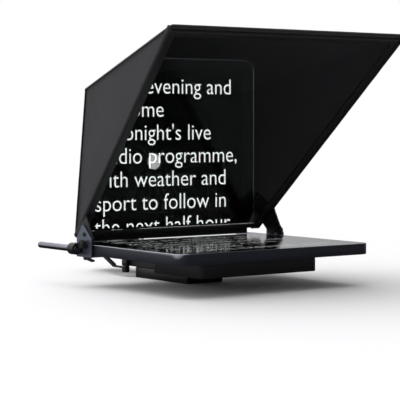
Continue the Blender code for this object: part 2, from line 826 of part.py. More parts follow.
def make_hood_sides():
    top_slope = hood_corners(1)[1] - hood_corners(1)[0]
    down = Vector((0, top_slope.z, -top_slope.y)).normalized() * (FABRIC + GAP)
    for side in (-1, 1):
        rim_top, rear_top, rear_bottom, rim_bottom = hood_corners(side)
        normal = (rear_top - rim_top).cross(rim_bottom - rim_top).normalized()
        inward = Vector((-side / abs(normal.x), 0, 0))
        along_rim = (rim_bottom - rim_top).normalized()
        along_rear = (rear_bottom - rear_top).normalized()
        rim_drop = down.length_squared / down.dot(along_rim)
        rear_drop = down.length_squared / down.dot(along_rear)
        corners = [rim_top + along_rim * rim_drop, rear_top + along_rear * rear_drop, rear_bottom, rim_bottom]
        panel(sided("hood_panel", side), corners, inward)


def make_hood_top():
    rim, rear = hood_corners(1)[:2]
    slope = rear - rim
    inward = Vector((0, slope.z, -slope.y)).normalized()
    corners = [(-rim.x, rim.y, rim.z), rim, rear, (-rear.x, rear.y, rear.z)]
    panel("hood_top_panel", corners, inward)


def make_front_lip():
    """The stiffened strip in the rim's plane between the top panel and the frame's top bar."""
    top, bottom = HOOD_RIM_TOP + LIP_FRONT * SLOPE - 6.8, FRAME_TOP + GAP
    side_gap = 3.2
    rings = []
    for front in (0.2, LIP_FRONT - 0.2):
        ring = []
        for height in (bottom, top):
            half = rim_half_width(height) - side_gap
            pair = [on_glass(-half, height, front), on_glass(half, height, front)]
            ring += pair if height == bottom else pair[::-1]
        rings.append(ring)
    add_object("hood_front_lip", loft(rings), CLOTH, pivot=pivot_point())


def make_rear_panel():
    rear_top, rear_bottom = hood_corners(1)[1:3]
    clear = FABRIC + 0.5
    top = rear_top.z - clear
    bottom = rear_bottom.z + GAP
    outline = [
        (rear_bottom.x - clear, bottom),
        (rear_top.x - clear, top),
        (clear - rear_top.x, top),
        (clear - rear_bottom.x, bottom),
    ]
    opening = rounded_rectangle(
        (-LENS_HALF_WIDTH, LENS_HEIGHTS[0]), (LENS_HALF_WIDTH, LENS_HEIGHTS[1]), LENS_CORNER
    )
    mesh = flat_mesh([outline, opening], -REAR_Y, FABRIC - REAR_Y, TO_XZ)
    add_object("hood_rear_panel", mesh, CLOTH, pivot=pivot_point())


def make_light_skirt():
    """The fabric strip below the frame that closes the gap to the monitor's rear edge."""
    low, high = (-SKIRT_HALF_WIDTH, 5.0, MONITOR_TOP + 0.8), (SKIRT_HALF_WIDTH, 6.4, FRAME_BOTTOM + 1.5)
    block("light_skirt", low, high, CLOTH, pivot=pivot_point())


def shroud_ring(share, grow):
    """One ring of the shroud, from the lens opening (0) to the gathered mouth (1), grown outwards."""
    half_height = (LENS_HEIGHTS[1] - LENS_HEIGHTS[0]) / 2
    middle = sum(LENS_HEIGHTS) / 2
    half_x = LENS_HALF_WIDTH + (SHROUD_MOUTH - LENS_HALF_WIDTH) * share + grow
    half_z = half_height + (SHROUD_MOUTH - half_height) * share + grow
    corner = LENS_CORNER + (min(half_x, half_z) - LENS_CORNER) * min(1.0, share * 1.05) - 0.01
    outline = rounded_rectangle((-half_x, middle - half_z), (half_x, middle + half_z), corner, 5)
    y = REAR_Y + GAP + (SHROUD_REAR_Y - REAR_Y) * share
    return [(x, y, z) for x, z in outline]


def make_lens_shroud():
    """A fabric cuff behind the lens opening, drawn together by an elastic round its small mouth."""
    shares = (0.0, 0.33, 0.66, 1.0)
    outside = [shroud_ring(share, FABRIC + 3.0 * (1 - share)) for share in shares]
    inside = [shroud_ring(share, 0.6) for share in reversed(shares)]
    rings = outside + inside
    bm = bmesh.new()
    made = [[bm.verts.new(point) for point in ring] for ring in rings]
    count = len(made[0])
    for first, second in zip(made, made[1:] + made[:1]):
        for i in range(count):
            j = (i + 1) % count
            bm.faces.new((first[i], first[j], second[j], second[i]))
    add_object("lens_shroud", mesh_of(bm), CLOTH, pivot=pivot_point())


# ---------------------------------------------------------------- assembly


def make_teleprompter():
    make_base()
    make_brake()
    make_rail()
    make_riser()
    make_lift()
    make_camera_plate()
    make_monitor()
    make_electronics_box()
    make_sockets_and_controls()
    for side in (-1, 1):
        make_side_bracket(side)
        make_rod_and_clamp(side)
        make_bracket_fasteners(side)
        make_hinge_ear(side)
    make_frame_bars()
    make_glass()
    make_hood_sides()
    make_hood_top()
    make_front_lip()
    make_rear_panel()
    make_light_skirt()
    make_lens_shroud()


make_teleprompter()
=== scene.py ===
import json
import math

import bmesh
import bpy
from mathutils import Matrix, Vector, noise


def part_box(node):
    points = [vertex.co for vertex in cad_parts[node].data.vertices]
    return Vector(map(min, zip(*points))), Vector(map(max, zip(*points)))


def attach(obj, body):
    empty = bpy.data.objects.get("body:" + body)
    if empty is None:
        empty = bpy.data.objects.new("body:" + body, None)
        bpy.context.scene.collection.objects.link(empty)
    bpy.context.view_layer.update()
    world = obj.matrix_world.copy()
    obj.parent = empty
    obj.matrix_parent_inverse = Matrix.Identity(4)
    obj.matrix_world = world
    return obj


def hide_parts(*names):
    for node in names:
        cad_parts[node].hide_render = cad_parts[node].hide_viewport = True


# The looks of a camera-mounted teleprompter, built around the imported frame. Metres, +Z up,
# -Y towards the presenter, +Y towards the camera, X = 0 the plane of symmetry.

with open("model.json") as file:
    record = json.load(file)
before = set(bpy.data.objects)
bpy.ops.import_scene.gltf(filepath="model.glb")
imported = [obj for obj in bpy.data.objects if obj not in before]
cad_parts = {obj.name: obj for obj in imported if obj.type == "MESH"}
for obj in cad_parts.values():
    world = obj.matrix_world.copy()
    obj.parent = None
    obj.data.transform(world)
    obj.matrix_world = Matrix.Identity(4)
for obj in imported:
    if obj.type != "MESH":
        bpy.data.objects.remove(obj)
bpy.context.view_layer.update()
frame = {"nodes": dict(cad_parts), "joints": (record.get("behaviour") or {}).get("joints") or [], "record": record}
MM = 0.001
X_AXIS, Y_AXIS, Z_AXIS = Vector((1, 0, 0)), Vector((0, 1, 0)), Vector((0, 0, 1))
SIDES = {"left": -1, "right": 1}
BODY_OF = {node: body for body, nodes in frame["record"]["behaviour"]["bodies"].items() for node in nodes}
SLOT_OF = {row["node"]: row["material_slot"] for row in frame["record"]["subparts"]}


# ---------------------------------------------------------------- shader nodes


def feed(tree, node, inputs):
    """Gives a node's inputs, by name or number, values or other nodes' outputs."""
    for key, value in inputs.items():
        if isinstance(value, bpy.types.NodeSocket):
            tree.links.new(value, node.inputs[key])
        else:
            node.inputs[key].default_value = value


def add_node(tree, kind, settings=None, inputs=None):
    made = tree.nodes.new(f"ShaderNode{kind}")
    for key, value in (settings or {}).items():
        setattr(made, key, value)
    feed(tree, made, inputs or {})
    return made


def maths(tree, operation, first, second=0.0):
    return add_node(tree, "Math", {"operation": operation}, {0: first, 1: second}).outputs[0]


def remap(tree, value, low, high, to_low, to_high):
    inputs = {"Value": value, "From Min": low, "From Max": high, "To Min": to_low, "To Max": to_high}
    return add_node(tree, "MapRange", None, inputs).outputs[0]


def rgba(colour):
    return colour if isinstance(colour, bpy.types.NodeSocket) else (*colour, 1.0)


def blend_colours(tree, factor, first, second):
    inputs = {0: factor, 6: rgba(first), 7: rgba(second)}
    return add_node(tree, "Mix", {"data_type": "RGBA"}, inputs).outputs[2]


def noise_of(tree, vector, scale, detail=3.0):
    inputs = {"Vector": vector, "Scale": scale, "Detail": detail, "Roughness": 0.55}
    return add_node(tree, "TexNoise", None, inputs).outputs[0]


def stretched(tree, vector, scale):
    return add_node(tree, "Mapping", None, {"Vector": vector, "Scale": scale}).outputs[0]


def object_place(tree):
    return add_node(tree, "TexCoord").outputs["Object"]


def dot_product(tree, first, second):
    return add_node(tree, "VectorMath", {"operation": "DOT_PRODUCT"}, {0: first, 1: second}).outputs["Value"]


def bump(tree, height, strength, relief):
    """A normal from a height, with the relief in millimetres."""
    inputs = {"Strength": strength, "Distance": relief * MM, "Height": height}
    return add_node(tree, "Bump", None, inputs).outputs[0]


def new_material(name):
    material = bpy.data.materials.new(name)
    material.use_nodes = True
    tree = material.node_tree
    return material, tree, tree.nodes["Principled BSDF"]


def shade(colour, factor):
    return tuple(min(1.0, channel * factor) for channel in colour)


def edge_mask(tree, radius):
    """1 on edges sharper than the given radius, 0 on flat faces, broken up by noise."""
    rounded = add_node(tree, "Bevel", {"samples": 4}, {"Radius": radius}).outputs[0]
    closeness = dot_product(tree, rounded, add_node(tree, "NewGeometry").outputs["Normal"])
    patches = remap(tree, noise_of(tree, object_place(tree), 160.0), 0.42, 0.62, 0.25, 1.0)
    return maths(tree, "MULTIPLY", remap(tree, closeness, 0.99, 0.85, 0.0, 1.0), patches)


def hard_material(name, colour, roughness, metallic=0.0, grain=0.4, relief=0.02, streak=(1, 1, 1),
                  worn=None, specular=0.5, painted_highlight=None):
    """Metal, plastic or rubber: mottled colour, grain of the given size and relief in millimetres, and
    worn edges in the colour `worn`. Faces towards the upper left get a painted highlight in the last colour given,
    as if they caught the light from there."""
    material, tree, shader = new_material(name)
    position = object_place(tree)
    cloudy = noise_of(tree, position, 22.0, 4.0)
    fine = noise_of(tree, stretched(tree, position, streak), 1.0 / (grain * MM), 2.0)
    base = blend_colours(tree, cloudy, shade(colour, 0.88), shade(colour, 1.12))
    base = blend_colours(tree, remap(tree, fine, 0.3, 0.7, 0.0, 0.35), base, shade(colour, 1.25))
    if worn:
        base = blend_colours(tree, edge_mask(tree, 0.5 * MM), base, worn)
    # Painted highlight: faces that point to the upper left are blended to a bright colour, as if lit from there.
    if painted_highlight:
        facing = dot_product(tree, add_node(tree, "NewGeometry").outputs["Normal"], UPPER_LEFT)
        base = blend_colours(tree, remap(tree, facing, 0.72, 0.92, 0.0, 1.0), base, painted_highlight)
    smear = maths(tree, "ADD", maths(tree, "MULTIPLY", cloudy, 0.7), maths(tree, "MULTIPLY", fine, 0.3))
    rough = remap(tree, smear, 0.3, 0.7, roughness * 0.85, min(1.0, roughness * 1.15))
    feed(tree, shader, {"Base Color": base, "Roughness": rough, "Metallic": metallic,
                        "Specular IOR Level": specular, "Normal": bump(tree, fine, 0.6, relief)})
    return material


def cloth_material(name, colour, thread, relief, sheen):
    """Plain weave, with painted shade in the dips between its threads. The attribute `weave` holds each point's
    place on the flat cloth, in metres.
    """
    material, tree, shader = new_material(name)
    place = add_node(tree, "Attribute", {"attribute_name": "weave"}).outputs["Vector"]
    flat = add_node(tree, "SeparateXYZ", None, {0: place}).outputs
    waves = [maths(tree, "SINE", maths(tree, "MULTIPLY", flat[i], math.pi / (thread * MM))) for i in (0, 1)]
    ridges = [maths(tree, "ABSOLUTE", wave) for wave in waves]
    over = maths(tree, "GREATER_THAN", maths(tree, "MULTIPLY", waves[0], waves[1]), 0.0)
    warp = maths(tree, "MULTIPLY", over, ridges[0])
    weft = maths(tree, "MULTIPLY", maths(tree, "SUBTRACT", 1.0, over), ridges[1])
    height = maths(tree, "ADD", warp, weft)
    slub = noise_of(tree, stretched(tree, place, (900, 90, 1)), 1.0, 2.0)
    cloudy = noise_of(tree, place, 9.0, 4.0)
    # Painted shade: the dips between threads are darkened and their crowns lightened by the weave's height; the
    # slubs add the yarn's own uneven colour.
    thread_shade_and_slub = remap(tree, height, 0.0, 1.0, 0.0, 0.75)
    thread_shade_and_slub = maths(tree, "ADD", thread_shade_and_slub, remap(tree, slub, 0.35, 0.65, -0.12, 0.25))
    base = blend_colours(tree, thread_shade_and_slub, shade(colour, 0.6), shade(colour, 1.3))
    base = blend_colours(tree, remap(tree, cloudy, 0.35, 0.65, 0.0, 0.18), base, shade(colour, 1.7))
    feed(tree, shader, {"Base Color": base, "Roughness": remap(tree, cloudy, 0.3, 0.7, 0.82, 0.95),
                        "Specular IOR Level": 0.2, "Sheen Weight": sheen, "Sheen Roughness": 0.45,
                        "Normal": bump(tree, height, 0.8, relief)})
    return material


def pane_material(name, reflection, tint, haze=(0.0, 0.018)):
    """A clear pane whose coating reflects this share of the light and lets the rest through.

    With no share given it reflects as a coated film does, little from the front and a lot at a low angle."""
    material, tree, shader = new_material(name)
    if reflection is None:
        reflection = add_node(tree, "Fresnel", None, {"IOR": 1.22}).outputs[0]
    film = remap(tree, noise_of(tree, object_place(tree), 14.0, 5.0), 0.45, 0.75, *haze)
    feed(tree, shader, {"Metallic": 1.0, "Base Color": rgba(tint), "Roughness": film})
    clear = add_node(tree, "BsdfTransparent", None, {"Color": (0.93, 0.95, 0.94, 1.0)})
    both = add_node(tree, "MixShader", None, {0: reflection, 1: clear.outputs[0], 2: shader.outputs[0]})
    feed(tree, tree.nodes["Material Output"], {"Surface": both.outputs[0]})
    return material


def screen_material(name, colour, roughness):
    """Black cover glass with an anti-reflection coating and a little dust."""
    material, tree, shader = new_material(name)
    position = object_place(tree)
    dust = remap(tree, noise_of(tree, position, 650.0, 1.0), 0.68, 0.8, 0.0, 0.5)
    smudge = remap(tree, noise_of(tree, position, 16.0, 4.0), 0.35, 0.7, roughness, roughness * 1.8)
    feed(tree, shader, {"Base Color": blend_colours(tree, dust, colour, shade(colour, 3.0)),
                        "Roughness": smudge, "IOR": 1.25})
    return material


def lit_material(name, colour, strength):
    """Lit picture under coated cover glass, with the panel's fine rows in it."""
    material, tree, shader = new_material(name)
    rows = add_node(tree, "SeparateXYZ", None, {0: object_place(tree)}).outputs[1]
    wave = maths(tree, "SINE", maths(tree, "MULTIPLY", rows, 2 * math.pi / (0.3 * MM)))
    lit = blend_colours(tree, remap(tree, wave, -1.0, 1.0, 0.94, 1.0), shade(colour, 0.9), colour)
    feed(tree, shader, {"Base Color": (0.01, 0.01, 0.01, 1.0), "Roughness": 0.1, "Emission Color": lit,
                        "Emission Strength": strength, "Specular IOR Level": 0.1})
    return material


UPPER_LEFT = (-0.62, -0.34, 0.71)
MATERIALS = {
    "black_metal": hard_material("anodised_black", (0.017, 0.017, 0.019), 0.42, 0.55, 0.35, 0.02,
                                 worn=(0.07, 0.07, 0.075)),
    "frame_metal": hard_material("painted_frame", (0.0085, 0.0085, 0.010), 0.36, 0.0, 0.5, 0.03,
                                 worn=(0.07, 0.07, 0.08), specular=0.4),
    "grey_metal": hard_material("blasted_grey", (0.115, 0.130, 0.165), 0.40, 0.85, 0.25, 0.03,
                                worn=(0.34, 0.36, 0.40)),
    "rod_metal": hard_material("drawn_rod", (0.205, 0.20, 0.24), 0.30, 1.0, 0.35, 0.01, streak=(1, 0.03, 1)),
    "steel": hard_material("zinc_steel", (0.56, 0.56, 0.57), 0.28, 1.0, 0.3, 0.012),
    "brass": hard_material("gold_contacts", (0.72, 0.50, 0.20), 0.25, 1.0, 0.3, 0.01),
    "rubber": hard_material("grip_rubber", (0.011, 0.011, 0.012), 0.72, 0.0, 0.5, 0.05, specular=0.3),
    "plastic": hard_material("moulded_black", (0.0115, 0.012, 0.0145), 0.46, 0.0, 0.45, 0.05,
                             worn=(0.07, 0.07, 0.08), specular=0.32),
    # The housing's edges towards the upper left carry a painted highlight.
    "housing": hard_material("moulded_housing", (0.0125, 0.0135, 0.0205), 0.42, 0.0, 0.45, 0.05,
                             worn=(0.05, 0.05, 0.06), specular=0.2, painted_highlight=(0.50, 0.52, 0.58)),
    "white_plastic": hard_material("socket_insulator", (0.75, 0.74, 0.70), 0.5, 0.0),
    "fabric": cloth_material("hood_nylon", (0.0118, 0.0108, 0.0140), 0.85, 0.12, sheen=0.08),
    "lining": cloth_material("hood_lining", (0.007, 0.007, 0.0075), 0.8, 0.1, sheen=0.05),
    "tape": cloth_material("binding_tape", (0.0085, 0.0080, 0.0100), 0.55, 0.14, sheen=0.10),
    "thread": hard_material("sewing_thread", (0.035, 0.035, 0.04), 0.8, 0.0, 0.2, 0.05),
    "coating": pane_material("mirror_coating", 0.60, (0.97, 0.98, 0.98)),
    "clear": pane_material("clear_back", 0.015, (0.9, 0.95, 0.92)),
    "ground_edge": hard_material("ground_glass_edge", (0.05, 0.09, 0.075), 0.35, 0.0, 0.3, 0.03),
    "cover": pane_material("screen_cover", None, (0.27, 0.28, 0.31), (0.12, 0.15)),
    "screen": screen_material("cover_glass", (0.0022, 0.0022, 0.0028), 0.045),
    "border": screen_material("screen_border", (0.012, 0.012, 0.0135), 0.16),
    "lit": lit_material("lit_lettering", (1.0, 0.97, 0.98), 1.8),
    "lcd": hard_material("panel_back", (0.30, 0.30, 0.31), 0.4, 0.9, 0.4, 0.02),
    "board": hard_material("solder_resist", (0.012, 0.085, 0.035), 0.35, 0.0, 0.6, 0.04),
    "pale": hard_material("pale_marks", (0.55, 0.55, 0.56), 0.5, 0.0, 0.3, 0.01),
    "led": lit_material("status_light", (0.15, 1.0, 0.30), 0.9),
}


# ---------------------------------------------------------------- shapes


def to_mesh(bm, name, smooth=False):
    mesh = bpy.data.meshes.new(name)
    bm.to_mesh(mesh)
    bm.free()
    if smooth:
        mesh.shade_smooth()
    return mesh


def smooth_mesh(bm, name, sharp=32.0):
    bmesh.ops.recalc_face_normals(bm, faces=bm.faces)
    mesh = to_mesh(bm, name)
    for layer in ("custom_normal", "sharp_face"):
        if layer in mesh.attributes:
            mesh.attributes.remove(mesh.attributes[layer])
    mesh.shade_smooth()
    mesh.set_sharp_from_angle(angle=math.radians(sharp))
    return mesh


def link_object(name, data):
    made = bpy.data.objects.new(name, data)
    bpy.context.scene.collection.objects.link(made)
    return made


def curve_mesh(curve):
    """The mesh that a filled curve or a line of lettering makes."""
    guide = link_object("guide", curve)
    bpy.context.view_layer.update()
    mesh = bpy.data.meshes.new_from_object(guide.evaluated_get(bpy.context.evaluated_depsgraph_get()))
    bpy.data.objects.remove(guide)
    return mesh


def place(name, shape, materials, body, slot, stands_for=(), sharp=32.0):
    """Puts a piece, a mesh or a bmesh, on its body. A piece that stands for CAD nodes hides them."""
    mesh = smooth_mesh(shape, name, sharp) if isinstance(shape, bmesh.types.BMesh) else shape
    for material in [materials] if isinstance(materials, str) else materials:
        mesh.materials.append(MATERIALS[material])
    piece = link_object(name, mesh)
    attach(piece, body)
    if stands_for:
        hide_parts(*stands_for)
    return piece


def merged(node):
    """The CAD node's solid with whole faces instead of triangles."""
    bm = bmesh.new()
    bm.from_mesh(frame["nodes"][node].data)
    bmesh.ops.remove_doubles(bm, verts=bm.verts, dist=2e-6)
    bmesh.ops.dissolve_limit(bm, angle_limit=math.radians(0.6), verts=bm.verts, edges=bm.edges)
    return bm


def finished(node, material, radius):
    """The CAD node with its edges rounded to a radius in millimetres."""
    piece = place(f"{node}_finish", merged(node), material, BODY_OF[node], SLOT_OF[node], [node])
    rounding = piece.modifiers.new("rounded edges", "BEVEL")
    rounding.width = radius * MM
    rounding.segments = 3
    rounding.limit_method = "ANGLE"
    rounding.angle_limit = math.radians(42.0)
    rounding.harden_normals = True
    return piece


def hexagon(angle):
    return math.cos(math.pi / 6) / math.cos((angle % (math.pi / 3)) - math.pi / 6)


def fluted(count, depth):
    """A grip with rounded lobes between narrow flutes."""
    return lambda angle: 1.0 - depth * (1.0 - abs(math.sin(count * angle / 2))) ** 2


def turn(bm, rings, centre, axis, steps=48):
    """Adds a closed turned shape. Each ring is (radius, height along the axis, shape); radius 0 closes it."""
    to_place = Matrix.Translation(Vector(centre)) @ Vector(axis).to_track_quat("Z", "Y").to_matrix().to_4x4()
    previous = None
    for radius, height, *shape in rings:
        if radius == 0:
            made = [bm.verts.new(to_place @ Vector((0, 0, height * MM)))]
        else:
            made = []
            for i in range(steps):
                angle = 2 * math.pi * i / steps
                r = radius * MM * (shape[0](angle) if shape else 1.0)
                point = Vector((r * math.cos(angle), r * math.sin(angle), height * MM))
                made.append(bm.verts.new(to_place @ point))
        if previous:
            for i in range(steps):
                j = (i + 1) % steps
                corners = [previous[i % len(previous)], previous[j % len(previous)],
                           made[j % len(made)], made[i % len(made)]]
                bm.faces.new(list(dict.fromkeys(corners)))
        previous = made


def turned(name, rings, centre, axis, material, body, slot, stands_for=(), steps=48, sharp=32.0):
    bm = bmesh.new()
    turn(bm, rings, centre, axis, steps)
    place(name, bm, material, body, slot, stands_for, sharp)


def remade(node, rings, centre, axis, material, steps=48, sharp=32.0):
    """A turned shape in the place of a CAD node."""
    turned(f"{node}_finish", rings, centre, axis, material, BODY_OF[node], SLOT_OF[node], [node], steps, sharp)


def plate(loops, low, high):
    """Outlines in metres filled from height low to high. An outline inside another is a hole."""
    curve = bpy.data.curves.new("outline", "CURVE")
    curve.dimensions = "2D"
    curve.fill_mode = "BOTH"
    curve.extrude = (high - low) / 2
    for loop in loops:
        spline = curve.splines.new("POLY")
        spline.points.add(len(loop) - 1)
        for point, (x, y) in zip(spline.points, loop):
            point.co = (x, y, 0.0, 1.0)
        spline.use_cyclic_u = True
    bm = bmesh.new()
    bm.from_mesh(curve_mesh(curve))
    bmesh.ops.remove_doubles(bm, verts=bm.verts, dist=1e-6)
    bmesh.ops.translate(bm, vec=(0, 0, (low + high) / 2), verts=bm.verts)
    return bm


def rounded_outline(low, high, radius, steps=8):
    points = []
    corners = ((high[0], high[1]), (low[0], high[1]), (low[0], low[1]), (high[0], low[1]))
    for i, (x, y) in enumerate(corners):
        cx = x + (-radius if x == high[0] else radius)
        cy = y + (-radius if y == high[1] else radius)
        for k in range(steps + 1):
            angle = math.radians(90 * (i + k / steps))
            points.append((cx + radius * math.cos(angle), cy + radius * math.sin(angle)))
    return points


def extreme(node, direction):
    """The corner of a CAD node that lies furthest in this direction."""
    return max((v.co for v in frame["nodes"][node].data.vertices), key=Vector(direction).dot).copy()


def along_path(points, spacing, closed=False):
    """Points at even steps along a polyline."""
    ends = points + points[:1] if closed else points
    lengths = [(b - a).length for a, b in zip(ends, ends[1:])]
    total = sum(lengths)
    count = max(2, round(total / spacing))
    made, covered, leg = [], 0.0, 0
    for i in range(count if closed else count + 1):
        target = total * i / count
        while leg < len(lengths) - 1 and covered + lengths[leg] < target:
            covered += lengths[leg]
            leg += 1
        share = min(1.0, (target - covered) / lengths[leg])
        made.append(ends[leg].lerp(ends[leg + 1], share))
    return made


def rounded_path(points, radius):
    """A polyline with its inner corners rounded."""
    steps = 5
    made = [points[0]]
    for before, corner, after in zip(points, points[1:], points[2:]):
        start = corner + (before - corner).normalized() * radius
        end = corner + (after - corner).normalized() * radius
        for i in range(steps + 1):
            t = i / steps
            made.append(start.lerp(corner, t).lerp(corner.lerp(end, t), t))
    return made + [points[-1]]


def bridge(bm, rows, around):
    """Fills the strips between rows of vertices. Each row is an outline if `around`, or else a line."""
    count = len(rows[0])
    for first, second in zip(rows, rows[1:]):
        for i in range(count if around else count - 1):
            j = (i + 1) % count
            bm.faces.new((first[i], first[j], second[j], second[i]))


def sweep(bm, path, outline, side, closed=False, wobble=0.0):
    """Adds a strip along a path. The outline's first axis runs along `side`, its second square to it.

    `side` is a vector, or a function of the point and its direction."""
    layer = bm.verts.layers.float_vector.get("weave") or bm.verts.layers.float_vector.new("weave")
    rings, run, around = [], 0.0, [0.0]
    for a, b in zip(outline, outline[1:]):
        around.append(around[-1] + math.dist(a, b))
    for i, point in enumerate(path):
        before = path[i - 1] if i or closed else point
        after = path[(i + 1) % len(path)] if i < len(path) - 1 or closed else point
        along = (after - before).normalized()
        across = side(point, along) if callable(side) else side
        across = (across - along * across.dot(along)).normalized()
        up = along.cross(across)
        swell = 1.0 + wobble * noise.noise(point * 55.0)
        ring = []
        for (a, b), share in zip(outline, around):
            vert = bm.verts.new(point + (across * a + up * b) * swell)
            vert[layer] = (run, share, 0.0)
            ring.append(vert)
        rings.append(ring)
        run += (after - point).length
    bridge(bm, rings + rings[:1] if closed else rings, around=True)
    if not closed:
        bm.faces.new(rings[0][::-1])
        bm.faces.new(rings[-1])


def oval(width, height, steps=12):
    """A rounded, slightly squared outline for tapes and piping."""
    power = 0.75
    made = []
    for i in range(steps):
        angle = 2 * math.pi * i / steps
        c, s = math.cos(angle), math.sin(angle)
        made.append((math.copysign(abs(c) ** power, c) * width / 2,
                     math.copysign(abs(s) ** power, s) * height / 2))
    return made


def stitches(bm, path, normal):
    """Adds a row of separate stitches that lie along the path, each a short rounded capsule."""
    reach, radius = 1.35, 0.32
    rings = [(0, -reach), (radius * 0.8, -reach * 0.84), (radius, -reach * 0.4),
             (radius, reach * 0.4), (radius * 0.8, reach * 0.84), (0, reach)]
    for point, after in zip(path, path[1:]):
        turn(bm, rings, point + normal * radius * MM * 0.6, (after - point).normalized(), 6)


# ---------------------------------------------------------------- the hood's cloth


HOOD = "hood"
PIVOT = Vector(next(j for j in frame["joints"] if j["name"] == "frame_tilt")["pos_m"])
RIM_NORMAL = Vector((0, -1, -1)).normalized()
STITCH_STEP = 4.2 * MM
STITCH_MARGIN = 9 * MM
# The lens opening of the rear panel: lowest and highest corner in X and Z, and the corners' radius.
OPENING_LOW, OPENING_HIGH, OPENING_RADIUS = Vector((-95.6, 129.5)) * MM, Vector((95.6, 322.4)) * MM, 21 * MM
OPENING_MIDDLE = (OPENING_LOW.y + OPENING_HIGH.y) / 2


def hood_corners(side):
    """Outer corners of one side of the hood: rim top, rear top, rear bottom, rim bottom."""
    name = "hood_panel_right" if side > 0 else "hood_panel_left"
    return [extreme("hood_top_panel", (side, -3, 2)), extreme("hood_top_panel", (side, 3, 0.5)),
            extreme(name, (side * 2, 3, -3)), extreme(name, (side, -1, -6))]


def round_off(u, v, width, depth, rounded):
    """Moves a place on a panel inwards where the panel's corners are rounded, each given with its radius."""
    for at_u, at_v, radius in rounded:
        du = abs(u - at_u) * width
        dv = abs(v - at_v) * depth
        if du < radius and dv < radius:
            reach = Vector((radius - du, radius - dv))
            if reach.length > radius:
                reach *= radius / reach.length
                u = abs(at_u - (radius - reach.x) / width)
                v = abs(at_v - (radius - reach.y) / depth)
    return u, v


def cloth_mesh(name, rows, closed=False, outward=None):
    """A smooth mesh of rows of points, each point given with its place on the flat cloth."""
    bm = bmesh.new()
    layer = bm.verts.layers.float_vector.new("weave")
    made = []
    for row in rows:
        made.append([bm.verts.new(point) for point, _ in row])
        for vert, (_, flat) in zip(made[-1], row):
            vert[layer] = (*flat, 0.0)
    bridge(bm, made, closed)
    bmesh.ops.recalc_face_normals(bm, faces=bm.faces)
    bm.faces.ensure_lookup_table()
    if outward is not None and bm.faces[0].normal.dot(outward) < 0:
        bmesh.ops.reverse_faces(bm, faces=bm.faces)
    return to_mesh(bm, name, smooth=True)


def hood_piece(name, shape, material="tape", stands_for=()):
    return place(name, shape, material, HOOD, "fabric", stands_for)


def cloth_piece(name, mesh, stands_for, thickness, on_board=True, materials=("fabric", "lining")):
    """A sheet with a thickness in millimetres, inwards over a board or else to both sides."""
    piece = hood_piece(name, mesh, materials, stands_for)
    thick = piece.modifiers.new("cloth", "SOLIDIFY")
    thick.thickness = thickness * MM
    thick.offset = -1.0 if on_board else 0.0
    if on_board:
        thick.material_offset = 1
        thick.material_offset_rim = 0
    return piece


def cloth_panel(name, corners, counts, outward, slack, seed, stands_for, rounded):
    """A panel of cloth stretched over its stiffener board, with a soft roll at its edges.

    corners run round the panel. Between its edges the cloth lies a little slack, and it pulls into faint
    folds near the corners."""
    a, b, c, d = corners
    across, down = counts
    width = ((b - a).length + (c - d).length) / 2
    depth = ((d - a).length + (c - b).length) / 2
    along, aside = (b - a).normalized(), (d - a).normalized()
    rows = []
    for j in range(down + 1):
        row = []
        for i in range(across + 1):
            u, v = round_off(i / across, j / down, width, depth, rounded)
            point = a.lerp(b, u).lerp(d.lerp(c, u), v)
            edge = min(min(u, 1 - u) * width, min(v, 1 - v) * depth)
            roll = max(0.0, 1.0 - edge / (6 * MM)) ** 2
            loose = min(1.0, edge / (50 * MM))
            lift = noise.noise(point * 9.0 + Vector((seed, 0, 0))) * slack * loose
            for corner, phase in ((a, 0.0), (b, 1.3), (c, 2.1), (d, 0.7)):
                reach = point - corner
                fold = math.sin(math.atan2(reach.dot(along), reach.dot(aside)) * 9.0 + phase + seed)
                fade = math.exp(-((reach.length - 50 * MM) / (50 * MM)) ** 2)
                lift += fold * fade * slack * 0.45 * loose
            row.append((point + outward * (lift - roll * 1.2 * MM), (u * width, v * depth)))
        rows.append(row)
    return cloth_piece(name, cloth_mesh(name, rows, outward=outward), stands_for, 1.6)


def panel_normal(corners, outward_hint):
    normal = (corners[1] - corners[0]).cross(corners[3] - corners[0]).normalized()
    return normal if normal.dot(Vector(outward_hint)) > 0 else -normal


def declare_panel(corners):
    """Works out the directions along and across a flat panel from its corners; nothing is kept or returned."""
    along = (corners[1] - corners[0]).normalized()
    across = (corners[3] - corners[0]) - along * (corners[3] - corners[0]).dot(along)
    across.normalize()


def panel_stitches(threads, start, end, towards, outward, inset):
    """A row of stitches inside an edge of a panel, on the side where the point `towards` lies."""
    along = (end - start).normalized()
    inward = towards - (start + end) / 2
    inward = (inward - along * inward.dot(along)).normalized() * inset
    margin = along * STITCH_MARGIN
    stitches(threads, along_path([start + inward + margin, end + inward - margin], STITCH_STEP), outward)


